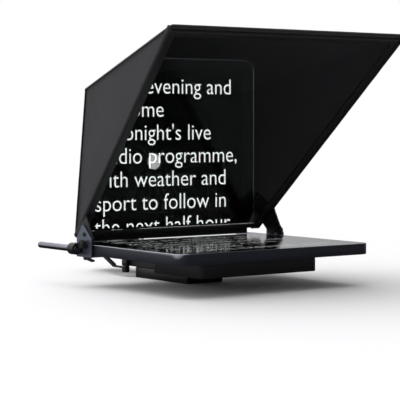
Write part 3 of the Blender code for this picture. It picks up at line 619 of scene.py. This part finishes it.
def make_hood():
    seams, threads = bmesh.new(), bmesh.new()
    tape = oval(7.5 * MM, 2.6 * MM)
    corners_of = {side: hood_corners(side) for side in (-1, 1)}
    for label, side in SIDES.items():
        corners = corners_of[side]
        outward = panel_normal(corners, (side, 0, 0))
        shown = [corner - outward * 0.4 * MM for corner in corners]
        panel = cloth_panel(f"hood_side_{label}", shown, (56, 44), outward, 1.5 * MM, 3.0 + side,
                            [f"hood_panel_{label}"], [(0, 0, 5 * MM), (1, 1, 10 * MM)])
        a, b, c, d = corners
        declare_panel(corners)
        rear = along_path(rounded_path([b, c, c - Vector((side * 16 * MM, 0, 0))], 10 * MM), 4 * MM)
        diagonal = (outward + Y_AXIS).normalized()
        sweep(seams, [p - diagonal * 1.6 * MM for p in rear], oval(11.0 * MM, 3.0 * MM),
              (outward - Y_AXIS).normalized(), wobble=0.06)
        for start, end in ((a, b), (b, c), (d, a)):
            panel_stitches(threads, start, end, (a + b + c + d) / 4, outward, 8 * MM)
    (a_left, b_left), (a_right, b_right) = corners_of[-1][:2], corners_of[1][:2]
    top = [a_left, a_right, b_right, b_left]
    upward = panel_normal(top, Z_AXIS)
    panel = cloth_panel("hood_top", [p - upward * 0.4 * MM for p in top], (60, 44), upward, 1.8 * MM, 11.0,
                        ["hood_top_panel"], [(0, 0, 5 * MM), (1, 0, 5 * MM)])
    declare_panel(top)
    for start, end in ((a_left, a_right), (b_left, b_right)):
        panel_stitches(threads, start, end, sum(top, Vector()) / 4, upward, 9 * MM)
    for label, side in SIDES.items():
        a, b = corners_of[side][:2]
        bisector = Vector((side, 0, 0.9)).normalized()
        edge = along_path([a + (b - a).normalized() * 7 * MM, b], 6 * MM)
        sweep(seams, [p - bisector * 1.3 * MM for p in edge], tape, Vector((side * 0.7, 0, -0.7)), wobble=0.06)
    rear = [p + Vector((0, -1.2 * MM, -0.8 * MM)) for p in along_path([b_left, b_right], 6 * MM)]
    sweep(seams, rear, tape, Vector((0, -0.8, 0.6)), wobble=0.06)
    hood_piece("hood_seam_tape", seams)
    hood_piece("hood_stitching", threads, "thread")
    make_rim(corners_of)


def make_rim(corners_of):
    """The rim's binding: cloth folded over the front edges of the panels, round the frame."""
    for label, side in SIDES.items():
        a, d = corners_of[side][0], corners_of[side][3]
        outward = panel_normal(corners_of[side], (side, 0, 0))
        down = (d - a).normalized()
        bm = bmesh.new()
        path = along_path([a + down * 5 * MM, d - down * 1.0 * MM], 6 * MM)
        path = [p - outward * 1.4 * MM - RIM_NORMAL * 2.0 * MM for p in path]
        sweep(bm, path, oval(9.0 * MM, 4.6 * MM, 14), -RIM_NORMAL, wobble=0.07)
        hood_piece(f"hood_rim_{label}", bm)
    bm = bmesh.new()
    ends = []
    for side in (-1, 1):
        a, d = corners_of[side][0], corners_of[side][3]
        corner = a + Vector((-side * 1.6 * MM, 0, -2.0 * MM)) - RIM_NORMAL * 1.2 * MM
        ends.append([corner + (d - a).normalized() * 16 * MM, corner])
    path = rounded_path(ends[0] + ends[1][::-1], 7 * MM)
    sweep(bm, along_path(path, 3 * MM), oval(6.6 * MM, 5.4 * MM, 14), -RIM_NORMAL, wobble=0.05)
    low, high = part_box("hood_front_lip")
    middle, size = (low + high) / 2, high - low
    path = [Vector((x, middle.y, middle.z)) for x in (low.x + 1 * MM, high.x - 1 * MM)]
    strip = oval(math.hypot(size.y, size.z) * 0.8, 3.4 * MM, 14)
    sweep(bm, along_path(path, 6 * MM), strip, -RIM_NORMAL, wobble=0.06)
    hood_piece("hood_rim_top", bm, "tape", ["hood_front_lip"])


def opening_outline(y, grow=0.0):
    """The lens opening as points at this depth, or an outline further out by `grow`."""
    margin = Vector((grow, grow))
    outline = rounded_outline(OPENING_LOW - margin, OPENING_HIGH + margin, OPENING_RADIUS + grow, 9)
    return [Vector((x, y, z)) for x, z in outline]


def make_rear_panel():
    """The rear panel: rings of cloth from the lens opening out to the panel's edge."""
    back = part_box("hood_rear_panel")[1].y
    inner = opening_outline(0.0)
    a, b = extreme("hood_rear_panel", (1, 1, 1)), extreme("hood_rear_panel", (1, 1, -3))
    b.x += 1.5 * MM
    cut = 4.5 * MM
    half = [(a.x, a.z), (b.x - cut * 0.1, b.z + cut), (b.x - cut, b.z)]
    edge = [Vector((x, 0, z)) for x, z in half] + [Vector((-x, 0, z)) for x, z in reversed(half)]
    outer = match_outline(inner, edge)
    rings = 12
    rows = []
    for k in range(rings + 1):
        row = []
        for p, q in zip(inner, outer):
            point = p.lerp(q, k / rings)
            wave = noise.noise(point * 11.0 + Vector((5, 0, 0))) * 0.55 * MM * math.sin(math.pi * k / rings)
            row.append(((point.x, back - 0.3 * MM + wave, point.z), (point.x, point.z)))
        rows.append(row)
    mesh = cloth_mesh("hood_rear", rows, closed=True, outward=Y_AXIS)
    piece = cloth_piece("hood_rear", mesh, ["hood_rear_panel"], 1.8)
    threads = bmesh.new()
    for grow in (5 * MM, 9 * MM):
        stitches(threads, along_path(opening_outline(back, grow), STITCH_STEP, closed=True), Y_AXIS)
    hood_piece("rear_stitching", threads, "thread")


def match_outline(points, polygon):
    """For each point round an opening, the place on the surrounding polygon in the same direction."""
    centre = sum(points, Vector()) / len(points)
    made = []
    for point in points:
        ray = point - centre
        best = None
        for a, b in zip(polygon, polygon[1:] + polygon[:1]):
            edge = b - a
            det = ray.x * edge.z - ray.z * edge.x
            if abs(det) < 1e-12:
                continue
            t = ((a.x - centre.x) * edge.z - (a.z - centre.z) * edge.x) / det
            s = ((a.x - centre.x) * ray.z - (a.z - centre.z) * ray.x) / det
            if t > 0 and -1e-6 <= s <= 1 + 1e-6 and (best is None or t < best):
                best = t
        made.append(centre + ray * best)
    free = set(range(len(made)))
    for corner in sorted(polygon, key=lambda point: -abs(point.x)):
        nearest = min(sorted(free), key=lambda i: (made[i] - corner).length)
        made[nearest] = corner.copy()
        free.discard(nearest)
    return made


def make_shroud():
    """The gathered cuff behind the lens opening, drawn together by an elastic round its mouth."""
    low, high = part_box("lens_shroud")
    around, rings, folds = 288, 34, 26
    mouth, elastic_at = 16.0 * MM, 0.90
    start = along_path(opening_outline(0.0), 1 * MM, closed=True)
    start = [start[int(i * len(start) / around)] for i in range(around)]
    rows = []
    for k in range(rings + 1):
        share = k / rings
        drawn = min(1.0, share / elastic_at)
        past = max(0.0, (share - elastic_at) / (1 - elastic_at))
        depth = (0.4 + 3.4 * drawn ** 0.8 * (1 - 0.5 * drawn)) * MM * min(1.0, share * 6)
        swell = (3.0 * math.sin(math.pi * drawn) + 5.5 * past ** 1.2) * MM
        y = low.y + 0.2 * MM + (high.y - 1.0 * MM - low.y) * (0.93 * drawn ** 0.9 + 0.07 * past)
        row = []
        for p in start:
            rim_point = Vector((p.x, 0, p.z - OPENING_MIDDLE))
            angle = math.atan2(rim_point.z, rim_point.x)
            point = rim_point.lerp(Vector((math.cos(angle), 0, math.sin(angle))) * mouth, drawn ** 1.15)
            jitter = 1.3 * noise.noise(Vector((math.cos(angle) * 2.2, math.sin(angle) * 2.2, share * 1.4)))
            fold = math.sin(folds * angle + jitter * 2.6) * depth
            fold += 0.6 * MM * math.sin(folds * 0.5 * angle + 4 * share + jitter) * min(1.0, share * 4)
            point += point.normalized() * (fold + swell)
            row.append(((point.x, y, point.z + OPENING_MIDDLE), (angle * 96 * MM, share * 95 * MM)))
        rows.append(row)
    mesh = cloth_mesh("gathered_shroud", rows, closed=True)
    piece = cloth_piece("gathered_shroud", mesh, ["lens_shroud"], 0.7, on_board=False)
    elastic, binding = bmesh.new(), bmesh.new()
    y, radius = low.y + (high.y - low.y) * 0.93, mouth + 1.6 * MM
    ring = [Vector((math.cos(t) * radius, y, math.sin(t) * radius + OPENING_MIDDLE))
            for t in (2 * math.pi * i / 96 for i in range(96))]
    sweep(elastic, ring, oval(5.0 * MM, 1.6 * MM, 10), Y_AXIS, closed=True, wobble=0.18)
    hood_piece("shroud_elastic", elastic)
    ring = along_path(opening_outline(7.6 * MM), 5 * MM, closed=True)
    sweep(binding, ring, oval(7.0 * MM, 1.8 * MM, 10), lambda p, along: along.cross(Y_AXIS),
          closed=True, wobble=0.05)
    hood_piece("opening_binding", binding)


def make_skirt():
    """The short strip of cloth below the frame, with a doubled hem and a faint wave along it."""
    low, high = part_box("light_skirt")
    size, middle = high - low, (low.y + high.y) / 2
    across, down = 150, 8
    rows = []
    for v in (j / down for j in range(down + 1)):
        row = []
        for i in range(across + 1):
            x = low.x + size.x * i / across
            wave = noise.noise(Vector((x * 14.0, v * 0.8, 2.0))) * 1.3 * MM * v
            row.append(((x, middle + wave, high.z - size.z * v), (x, v * size.z)))
        rows.append(row)
    piece = cloth_piece("skirt_cloth", cloth_mesh("skirt_cloth", rows), ["light_skirt"], 0.8,
                        on_board=False, materials=["lining"])
    hem = bmesh.new()
    for z, waving in ((low.z + 1.6 * MM, 1.0 * MM), (high.z - 1.6 * MM, 0.0)):
        path = [Vector((x, middle + noise.noise(Vector((x * 14.0, 0.7, 2.0))) * waving, z))
                for x in (low.x + size.x * i / 120 for i in range(121))]
        sweep(hem, path, oval(3.2 * MM, 1.5 * MM, 10), Z_AXIS)
    hood_piece("skirt_hem", hem)


make_hood()
make_rear_panel()
make_shroud()
make_skirt()


# ---------------------------------------------------------------- glass, screen and lettering


SCREEN_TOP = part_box("screen_glass")[1].z
LINES = ("Good evening and", "welcome", "to tonight's live", "studio programme,", "with weather and",
         "sport to follow in", "the next half hour")
LETTER_HEIGHT = 30.0 * MM
LINE_PITCH = 44.9 * MM
FIRST_BASELINE = -264.0 * MM
TEXT_LEFT = -166.0 * MM
PICTURE_HALF = 188.0 * MM
PICTURE_Y = (-309.0 * MM, -6.5 * MM)


def make_pane():
    """The beam splitter: mirror coating on its front face, clear behind, ground edges."""
    bm = merged("mirror_glass")
    sharp = [edge for edge in bm.edges if edge.calc_face_angle() > 0.5]
    bmesh.ops.bevel(bm, geom=sharp, offset=0.35 * MM, segments=2, profile=0.5, affect="EDGES")
    bmesh.ops.recalc_face_normals(bm, faces=bm.faces)
    for face in bm.faces:
        facing = face.normal.dot(RIM_NORMAL)
        face.material_index = 0 if facing > 0.99 else 1 if facing < -0.99 else 2
    place("mirror_pane", to_mesh(bm, "mirror_pane"), ["coating", "clear", "ground_edge"], HOOD,
          "mirror_glass", ["mirror_glass"])


def letters(text):
    """Flat lettering of a line of text, from x = 0 on the baseline y = 0, at the curve's own size."""
    curve = bpy.data.curves.new("line", "FONT")
    curve.body = text
    curve.size = 1.0
    curve.resolution_u = 6
    curve.offset = -0.006
    return curve_mesh(curve)


def make_script_text():
    """The script on the screen. It is mirrored there, so the glass shows it the right way round."""
    scale = LETTER_HEIGHT / max(v.co.y for v in letters("h").vertices)
    joined = bmesh.new()
    for number, line in enumerate(LINES):
        bm = bmesh.new()
        bm.from_mesh(letters(line))
        baseline = FIRST_BASELINE + number * LINE_PITCH
        for vert in bm.verts:
            vert.co = Vector((TEXT_LEFT + vert.co.x * scale, baseline - vert.co.y * scale, 0.0))
        everything = list(bm.verts) + list(bm.edges) + list(bm.faces)
        bmesh.ops.bisect_plane(bm, geom=everything, dist=1e-7, plane_co=(0, PICTURE_Y[1] - 1.0 * MM, 0),
                               plane_no=Y_AXIS, clear_outer=True)
        joined.from_mesh(to_mesh(bm, "line"))
    bmesh.ops.remove_doubles(joined, verts=joined.verts, dist=1e-6)
    bmesh.ops.translate(joined, verts=joined.verts, vec=(0, 0, SCREEN_TOP + 0.04 * MM))
    for face in joined.faces:
        face.normal_update()
        if face.normal.z < 0:
            face.normal_flip()
    place("script_lettering", to_mesh(joined, "script_lettering"), "lit", "rail", "screen")


def make_screen():
    finished("screen_glass", "screen", 0.5)
    low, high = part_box("screen_glass")
    rim = rounded_outline((low.x + 0.3 * MM, low.y + 0.3 * MM), (high.x - 0.3 * MM, high.y - 0.3 * MM),
                          20.3 * MM, 8)
    near, far = PICTURE_Y
    picture = [(-PICTURE_HALF, near), (PICTURE_HALF, near), (PICTURE_HALF, far), (-PICTURE_HALF, far)]
    bm = plate([rim, picture], SCREEN_TOP + 0.01 * MM, SCREEN_TOP + 0.12 * MM)
    place("screen_border", bm, "border", "rail", "screen")
    make_script_text()
    film = bmesh.new()
    for height in (0.22, 0.26, 0.30):
        film.faces.new([film.verts.new((x, y, SCREEN_TOP + height * MM)) for x, y in rim])
    place("screen_cover", to_mesh(film, "screen_cover"), "cover", "rail", "screen")


make_pane()
make_screen()


# ---------------------------------------------------------------- fasteners, knobs and sockets


def socket_head(bm, centre, axis, radius=2.7, height=2.8):
    """Adds a cap screw's head with its hexagonal socket, standing on centre."""
    key = radius * 0.56
    turn(bm, [(0, 0.02), (radius - 0.15, 0.02), (radius, 0.2), (radius, height - 0.4), (radius - 0.4, height),
              (key + 0.15, height), (key, height - 0.15, hexagon), (key, height * 0.45, hexagon),
              (0, height * 0.4)], centre, axis, 24)


def screws(name, spots, body, radius=2.7, height=2.8, material="steel", slot="steel"):
    bm = bmesh.new()
    for centre, axis in spots:
        socket_head(bm, centre, axis, radius, height)
    place(name, bm, material, body, slot, sharp=40)


def joint_of(body):
    return next(joint for joint in frame["joints"] if joint["child"] == body)


def knob(node, lobes, depth):
    """A clamping knob on its CAD place: lobed grip with a recessed cap, collar and steel stud."""
    body = BODY_OF[node]
    axis, seat = Vector(joint_of(body)["axis"]), Vector(joint_of(body)["pos_m"])
    offsets = [(v.co - seat) / MM for v in frame["nodes"][node].data.vertices]
    heights = [offset.dot(axis) for offset in offsets]
    radii = [(offset - axis * height).length for offset, height in zip(offsets, heights)]
    reach, stud, grip = max(heights), -min(heights), max(radii)
    shank = min(radius for radius, height in zip(radii, heights) if height < 0 and radius > 0.1)
    lobe, soft = fluted(lobes, depth), fluted(lobes, depth * 0.6)
    rings = [(0, 0.8), (grip * 0.5, 0.8), (grip * 0.52, 2.0), (grip * 0.80, 2.3, soft),
             (grip * 0.94, 3.0, lobe), (grip, 4.4, lobe), (grip, reach * 0.55, lobe),
             (grip * 0.99, reach - 2.2, lobe),
             (grip * 0.95, reach - 1.1, lobe), (grip * 0.87, reach - 0.35, soft), (grip * 0.76, reach, soft),
             (grip * 0.46, reach - 0.1), (grip * 0.42, reach - 1.2), (0, reach - 1.3)]
    turned(f"{node}_grip", rings, seat, axis, "rubber", body, "rubber", [node], steps=96)
    rings = [(0, -stud), (shank * 0.85, -stud), (shank, -stud + 0.6), (shank, 0.2), (grip * 0.5, 0.25),
             (grip * 0.5, 0.85), (0, 0.9)]
    turned(f"{node}_stud", rings, seat, axis, "steel", body, "steel")
    rings = [(0, reach - 1.35), (grip * 0.38, reach - 1.3), (grip * 0.38, reach - 0.75),
             (grip * 0.32, reach - 0.55), (0, reach - 0.5)]
    turned(f"{node}_cap", rings, seat, axis, "black_metal", body, "rubber")


def add_block(bm, centre, size):
    corners = bmesh.ops.create_cube(bm, size=1.0)["verts"]
    bmesh.ops.scale(bm, vec=size, verts=corners)
    bmesh.ops.translate(bm, vec=centre, verts=corners)


def make_clamp(label, side):
    """The rod's clamp: a split collar round the rod with a foot against the bracket."""
    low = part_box(f"rod_clamp_{label}")[0]
    axis = sum(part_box(f"side_rod_{label}"), Vector()) / 2
    start, end = low.y / MM, low.y / MM + 18.5
    bm = bmesh.new()
    turn(bm, [(6.1, start + 0.5), (6.6, start), (10.3, start), (10.9, start + 0.6), (10.9, end - 0.6),
              (10.3, end), (6.6, end), (6.1, end - 0.5), (6.1, start + 0.5)],
         (axis.x, 0, axis.z), Y_AXIS, 64)
    bmesh.ops.remove_doubles(bm, verts=bm.verts, dist=1e-6)
    add_block(bm, (side * 229.75 * MM, low.y + 9.25 * MM, axis.z), (4.3 * MM, 18.5 * MM, 17 * MM))
    place(f"rod_clamp_{label}_finish", bm, "black_metal", "rail", "black_metal", [f"rod_clamp_{label}"], 40)


for node in ("tilt_knob_left", "tilt_knob_right"):
    knob(node, 5, 0.16)
for node in ("lift_knob_left", "lift_knob_right", "riser_lock_knob"):
    knob(node, 7, 0.12)
knob("plate_lock_knob", 12, 0.06)

for node in ("base_block", "rail_carriage", "lever_block", "main_rail", "rail_end_stop", "riser_foot",
             "riser_column_left", "riser_column_right", "lift_bracket", "camera_plate", "monitor_mount_plate"):
    finished(node, "black_metal", 0.5)
for label, side in SIDES.items():
    make_clamp(label, side)
for node, material, radius in (
        ("brake_lever", "black_metal", 0.6), ("carriage_gib", "steel", 0.2),
        ("foot_lever_left", "black_metal", 0.5), ("foot_lever_right", "black_metal", 0.5),
        ("side_bracket_left", "grey_metal", 0.35), ("side_bracket_right", "grey_metal", 0.35),
        ("hinge_ear_left", "black_metal", 0.35), ("hinge_ear_right", "black_metal", 0.35),
        ("frame_bar_bottom", "frame_metal", 0.7), ("frame_bar_top", "frame_metal", 0.7),
        ("frame_bar_left", "frame_metal", 0.7), ("frame_bar_right", "frame_metal", 0.7),
        ("monitor_housing", "housing", 1.1), ("electronics_box", "plastic", 0.6),
        ("power_switch", "plastic", 0.4), ("lcd_panel", "lcd", 0.5), ("controller_board", "board", 0.2)):
    finished(node, material, radius)


def make_round_parts():
    """Turned parts made again with fine rings on their CAD places."""
    for label, side in SIDES.items():
        low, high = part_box(f"side_rod_{label}")
        half = (high.y - low.y) / 2 / MM
        rings = [(0, -half), (5.0, -half), (5.9, 0.8 - half), (6, 1.4 - half), (6, half - 3.0),
                 (5.7, half - 2.0), (3.9, half - 0.5), (3.3, half - 0.15), (0, half)]
        remade(f"side_rod_{label}", rings, (low + high) / 2, Y_AXIS, "rod_metal", 64)
        low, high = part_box(f"rod_screw_{label}")
        foot = (low.z - high.z) / 2 / MM
        rings = [(0, foot), (2.3, foot), (2.4, -2.0), (2.4, 2.2), (2.1, 2.55), (1.4, 2.6), (1.3, 2.5, hexagon),
                 (1.3, 0.6, hexagon), (0, 0.4)]
        remade(f"rod_screw_{label}", rings, (low + high) / 2, Z_AXIS, "steel", 36, 40)
        rings = [(0, -6.4), (2.6, -6.4), (2.8, -6.1), (2.8, 0.3), (4.2, 0.3), (4.2, 0.7), (3.9, 1.5),
                 (3.2, 2.0), (2.4, 2.2), (1.75, 2.2), (1.6, 2.1, hexagon), (1.6, 0.9, hexagon), (0, 0.8)]
        remade(f"hinge_pin_{label}", rings, (side * 227.3 * MM, PIVOT.y, PIVOT.z), (side, 0, 0), "black_metal",
               sharp=40)


make_round_parts()


def make_camera_screws():
    """The threaded camera screw and its sprung locating pin."""
    rings = [(0, 8.0), (3.4, 8.0), (3.9, 7.5)]
    for height in (7.2 - 1.588 * i for i in range(4)):
        rings += [(4.75, height - 0.35), (4.75, height - 0.5), (4.0, height - 1.15), (4.0, height - 1.25)]
    rings += [(4.2, 0.2), (4.2, -5.4), (7.8, -5.4), (8.0, -5.7), (8.0, -8.9), (7.7, -9.2), (1.8, -9.2),
              (1.7, -9.1, hexagon), (1.7, -7.0, hexagon), (0, -6.9)]
    remade("camera_screw", rings, joint_of("screw")["pos_m"], Z_AXIS, "steel", 64)
    low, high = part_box("video_pin")
    tall = (high.z - low.z) / MM
    rings = [(0, 0), (2.3, 0), (2.5, 0.2), (2.5, tall - 1.4), (2.2, tall - 0.6), (1.3, tall - 0.1), (0, tall)]
    remade("video_pin", rings, ((low.x + high.x) / 2, (low.y + high.y) / 2, low.z), Z_AXIS, "steel")


def make_plate_pads():
    """Ribbed rubber strips let into the camera plate's top, either side of the slot."""
    low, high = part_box("camera_plate")
    bm = bmesh.new()
    ribs = 40
    for side in (-1, 1):
        x0, x1 = sorted((side * 12 * MM, side * 27 * MM))
        outline = rounded_outline((x0, low.y + 6 * MM), (x1, high.y - 6 * MM), 2 * MM, 4)
        bm.from_mesh(to_mesh(plate([outline], high.z - 0.2 * MM, high.z + 0.25 * MM), "pad"))
        for i in range(ribs):
            y = low.y + 10 * MM + (high.y - low.y - 20 * MM) * i / (ribs - 1)
            add_block(bm, ((x0 + x1) / 2, y, high.z + 0.1 * MM), (x1 - x0 - 2 * MM, 1.4 * MM, 0.6 * MM))
    place("camera_plate_pads", bm, "rubber", "plate", "rubber")


def make_screw_sets():
    """Cap screws where the parts are bolted together, on the CAD parts' faces."""
    low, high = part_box("rail_carriage")
    spots = [((low.x, y * MM, 37 * MM), (-1, 0, 0)) for y in (66, 73)]
    spots += [((high.x, y * MM, 36 * MM), X_AXIS) for y in (-80, 0, 80)]
    screws("carriage_screws", spots, "base")
    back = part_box("rail_end_stop")[1].y
    screws("end_stop_screws", [((x * MM, back, 49 * MM), Y_AXIS) for x in (-18, 18)], "rail")
    for name, node, body, xs, ys, face, radius, height, finish in (
            ("mount_plate_screws", "monitor_mount_plate", "rail", (-50, 50), (-105, -25), 0, 4.2, 2.4, "steel"),
            ("riser_screws", "riser_foot", "riser", (-41.5, 41.5), (157, 223), 1, 2.3, 2.2, "steel"),
            ("lift_screws", "lift_bracket", "lift", (-36.8, 36.8), (137, 188, 239), 1, 2.3, 2.2, "steel"),
            ("box_screws", "electronics_box", "rail", (-118, 118), (-264, -144), 0, 2.4, 1.4, "black_metal")):
        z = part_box(node)[face].z - (0.1 * MM if node == "monitor_mount_plate" else 0.0)
        spots = [((x * MM, y * MM, z), (0, 0, 1 if face else -1)) for x in xs for y in ys]
        screws(name, spots, body, radius, height, finish, finish)
    for label, side in SIDES.items():
        spots = [(Vector((side * 212.5, 94.7 - height, height)) * MM + RIM_NORMAL * 5.7 * MM, RIM_NORMAL)
                 for height in (111.5, 126.5)]
        screws(f"hinge_screws_{label}", spots, HOOD, 2.2, 1.6, "black_metal", "black_metal")


def make_sockets():
    """The power socket's contacts and the video sockets' barrels, lugs, insulators and pins."""
    low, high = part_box("power_socket")
    x, z = (low.x + high.x) / 2, (low.z + high.z) / 2
    finished("power_socket", "black_metal", 0.25)
    bm = bmesh.new()
    for dx, dz in ((-2.9, 2.2), (2.9, 2.2), (-2.9, -2.6), (2.9, -2.6)):
        turn(bm, [(0, 0), (0.9, 0), (0.9, 8.6), (0.5, 9.2), (0, 9.3)],
             (x + dx * MM, high.y - 15.5 * MM, z + dz * MM), Y_AXIS, 16)
    place("power_contacts", bm, "brass", "rail", "steel")
    screws("power_socket_screws", [((x + dx * MM, high.y, z + dz * MM), Y_AXIS)
                                   for dx, dz in ((-7.6, 7.0), (7.6, -7.0))], "rail", 1.3, 0.7)
    for number in (1, 2):
        low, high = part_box(f"video_socket_{number}")
        centre = Vector(((low.x + high.x) / 2, low.y, (low.z + high.z) / 2))
        tip = (high.y - low.y) / MM
        bm = bmesh.new()
        turn(bm, [(0, 0), (4.9, 0), (4.9, 7.0), (7.4, 7.0, hexagon), (7.4, 9.0, hexagon), (7.0, 9.2, hexagon),
                  (4.9, 9.3), (4.8, tip - 0.3), (4.5, tip), (3.7, tip), (3.6, tip - 0.3), (3.6, tip - 7.0),
                  (0, tip - 7.0)], centre, Y_AXIS, 48)
        for side in (-1, 1):
            turn(bm, [(0, 0), (1.0, 0), (1.0, 1.5), (0.8, 1.8), (0, 1.8)],
                 centre + Vector((side * 4.6 * MM, (tip - 3.0) * MM, 0)), (side, 0, 0), 16)
        place(f"video_socket_{number}_finish", bm, "steel", "rail", "steel", [f"video_socket_{number}"], 40)
        rings = [(0, tip - 7.1), (3.2, tip - 7.1), (3.2, tip - 4.5), (2.9, tip - 4.2), (1.1, tip - 4.2),
                 (1.0, tip - 5.0), (0, tip - 5.0)]
        turned(f"video_insulator_{number}", rings, centre, Y_AXIS, "white_plastic", "rail", "plastic",
               steps=32)
        rings = [(0, tip - 5.2), (0.7, tip - 5.2), (0.7, tip - 3.2), (0.45, tip - 2.9), (0, tip - 2.9)]
        turned(f"video_contact_{number}", rings, centre, Y_AXIS, "brass", "rail", "steel", steps=16)


def make_controls():
    for number in (1, 2, 3, 4):
        node = f"menu_button_{number}"
        low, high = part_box(node)
        tall = (high.x - low.x) / MM
        rings = [(0, 0), (3.4, 0), (3.4, tall - 1.0), (3.25, tall - 0.5), (2.8, tall - 0.12), (2.0, tall),
                 (1.0, tall - 0.12), (0, tall - 0.16)]
        remade(node, rings, (low.x, (low.y + high.y) / 2, (low.z + high.z) / 2), X_AXIS, "rubber", 40)
    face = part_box("electronics_box")[1].x
    bm = bmesh.new()
    for y in (-190, -204, -218, -232):
        turn(bm, [(0, -0.3), (0.5, -0.3), (0.5, 0.1), (0, 0.12)], (face, y * MM, 51.5 * MM), X_AXIS, 16)
    place("control_marks", bm, "pale", "rail", "plastic")
    turned("status_light", [(0, -0.4), (1.1, -0.4), (1.1, 0.15), (0.8, 0.35), (0, 0.45)],
           (face, -246 * MM, 44 * MM), X_AXIS, "led", "rail", "plastic", steps=24)


make_camera_screws()
make_plate_pads()
make_screw_sets()
make_sockets()
make_controls()


# ---------------------------------------------------------------- floor, light and camera


def staged_plane(name, half, location, colour, roughness, specular):
    bm = bmesh.new()
    bmesh.ops.create_grid(bm, x_segments=1, y_segments=1, size=half)
    plane = link_object(name, to_mesh(bm, name))
    plane.location = location
    material, tree, shader = new_material(f"{name}_surface")
    feed(tree, shader, {"Base Color": rgba(colour), "Roughness": roughness, "Specular IOR Level": specular})
    plane.data.materials.append(material)
    return plane


def make_flag():
    """A black cloth on the floor that only mirrors see, as on a real set, so the glass stays dark."""
    flag = staged_plane("black_flag", 1.0, (0.15, -0.15, 0.0), (0.012, 0.012, 0.013), 1.0, 0.0)
    flag.visible_camera = flag.visible_diffuse = flag.visible_shadow = False
    flag.visible_transmission = flag.visible_volume_scatter = False


def make_world():
    """White to the camera. As light it is bright behind and to the left, and dim in front."""
    world = bpy.data.worlds.new("studio")
    bpy.context.scene.world = world
    world.use_nodes = True
    tree = world.node_tree
    towards = dot_product(tree, add_node(tree, "TexCoord").outputs["Generated"], (-0.62, 0.74, 0.25))
    level = remap(tree, towards, -0.55, 0.45, 0.13, 1.05)
    camera = add_node(tree, "LightPath").outputs["Is Camera Ray"]
    strength = add_node(tree, "Mix", {"data_type": "FLOAT"}, {0: camera, 2: level, 3: 1.0})
    feed(tree, tree.nodes["Background"], {"Color": (1.0, 1.0, 1.0, 1.0), "Strength": strength.outputs[0]})


def add_light(name, kind, power, position, rotation):
    light = bpy.data.lights.new(name, kind)
    light.energy = power
    lamp = link_object(name, light)
    lamp.location = position
    lamp.rotation_mode = "QUATERNION"
    lamp.rotation_quaternion = rotation
    return light


def make_lights():
    sun = add_light("top_light", "SUN", 1.6, (0, 0, 0), Vector((-0.25, 0.35, 1.0)).to_track_quat("Z", "Y"))
    sun.angle = math.radians(75)
    position, target = Vector((-2.6, 0.3, 0.9)), Vector((0, -0.1, 0.25))
    left = add_light("left_light", "AREA", 8.0, position, (target - position).to_track_quat("-Z", "Y"))
    left.shape = "RECTANGLE"
    left.size, left.size_y = 1.6, 1.4


def make_camera():
    """The photographer's viewpoint: in front and to the left, a little above the screen."""
    camera = link_object("camera", bpy.data.cameras.new("camera"))
    camera.data.lens = 144.4
    camera.data.sensor_width = 36.0
    camera.data.clip_end = 100.0
    camera.location = (-1.8116, -2.5326, 0.3080)
    camera.rotation_mode = "QUATERNION"
    camera.rotation_quaternion = Vector((0.5957, 0.8016, -0.0499)).to_track_quat("-Z", "Y")
    bpy.context.scene.camera = camera


staged_plane("floor", 12.0, (0, 0, -0.5 * MM), (0.86, 0.86, 0.87), 0.9, 0.1)
make_flag()
make_world()
make_lights()
make_camera()
bpy.context.scene.view_settings.view_transform = "Standard"
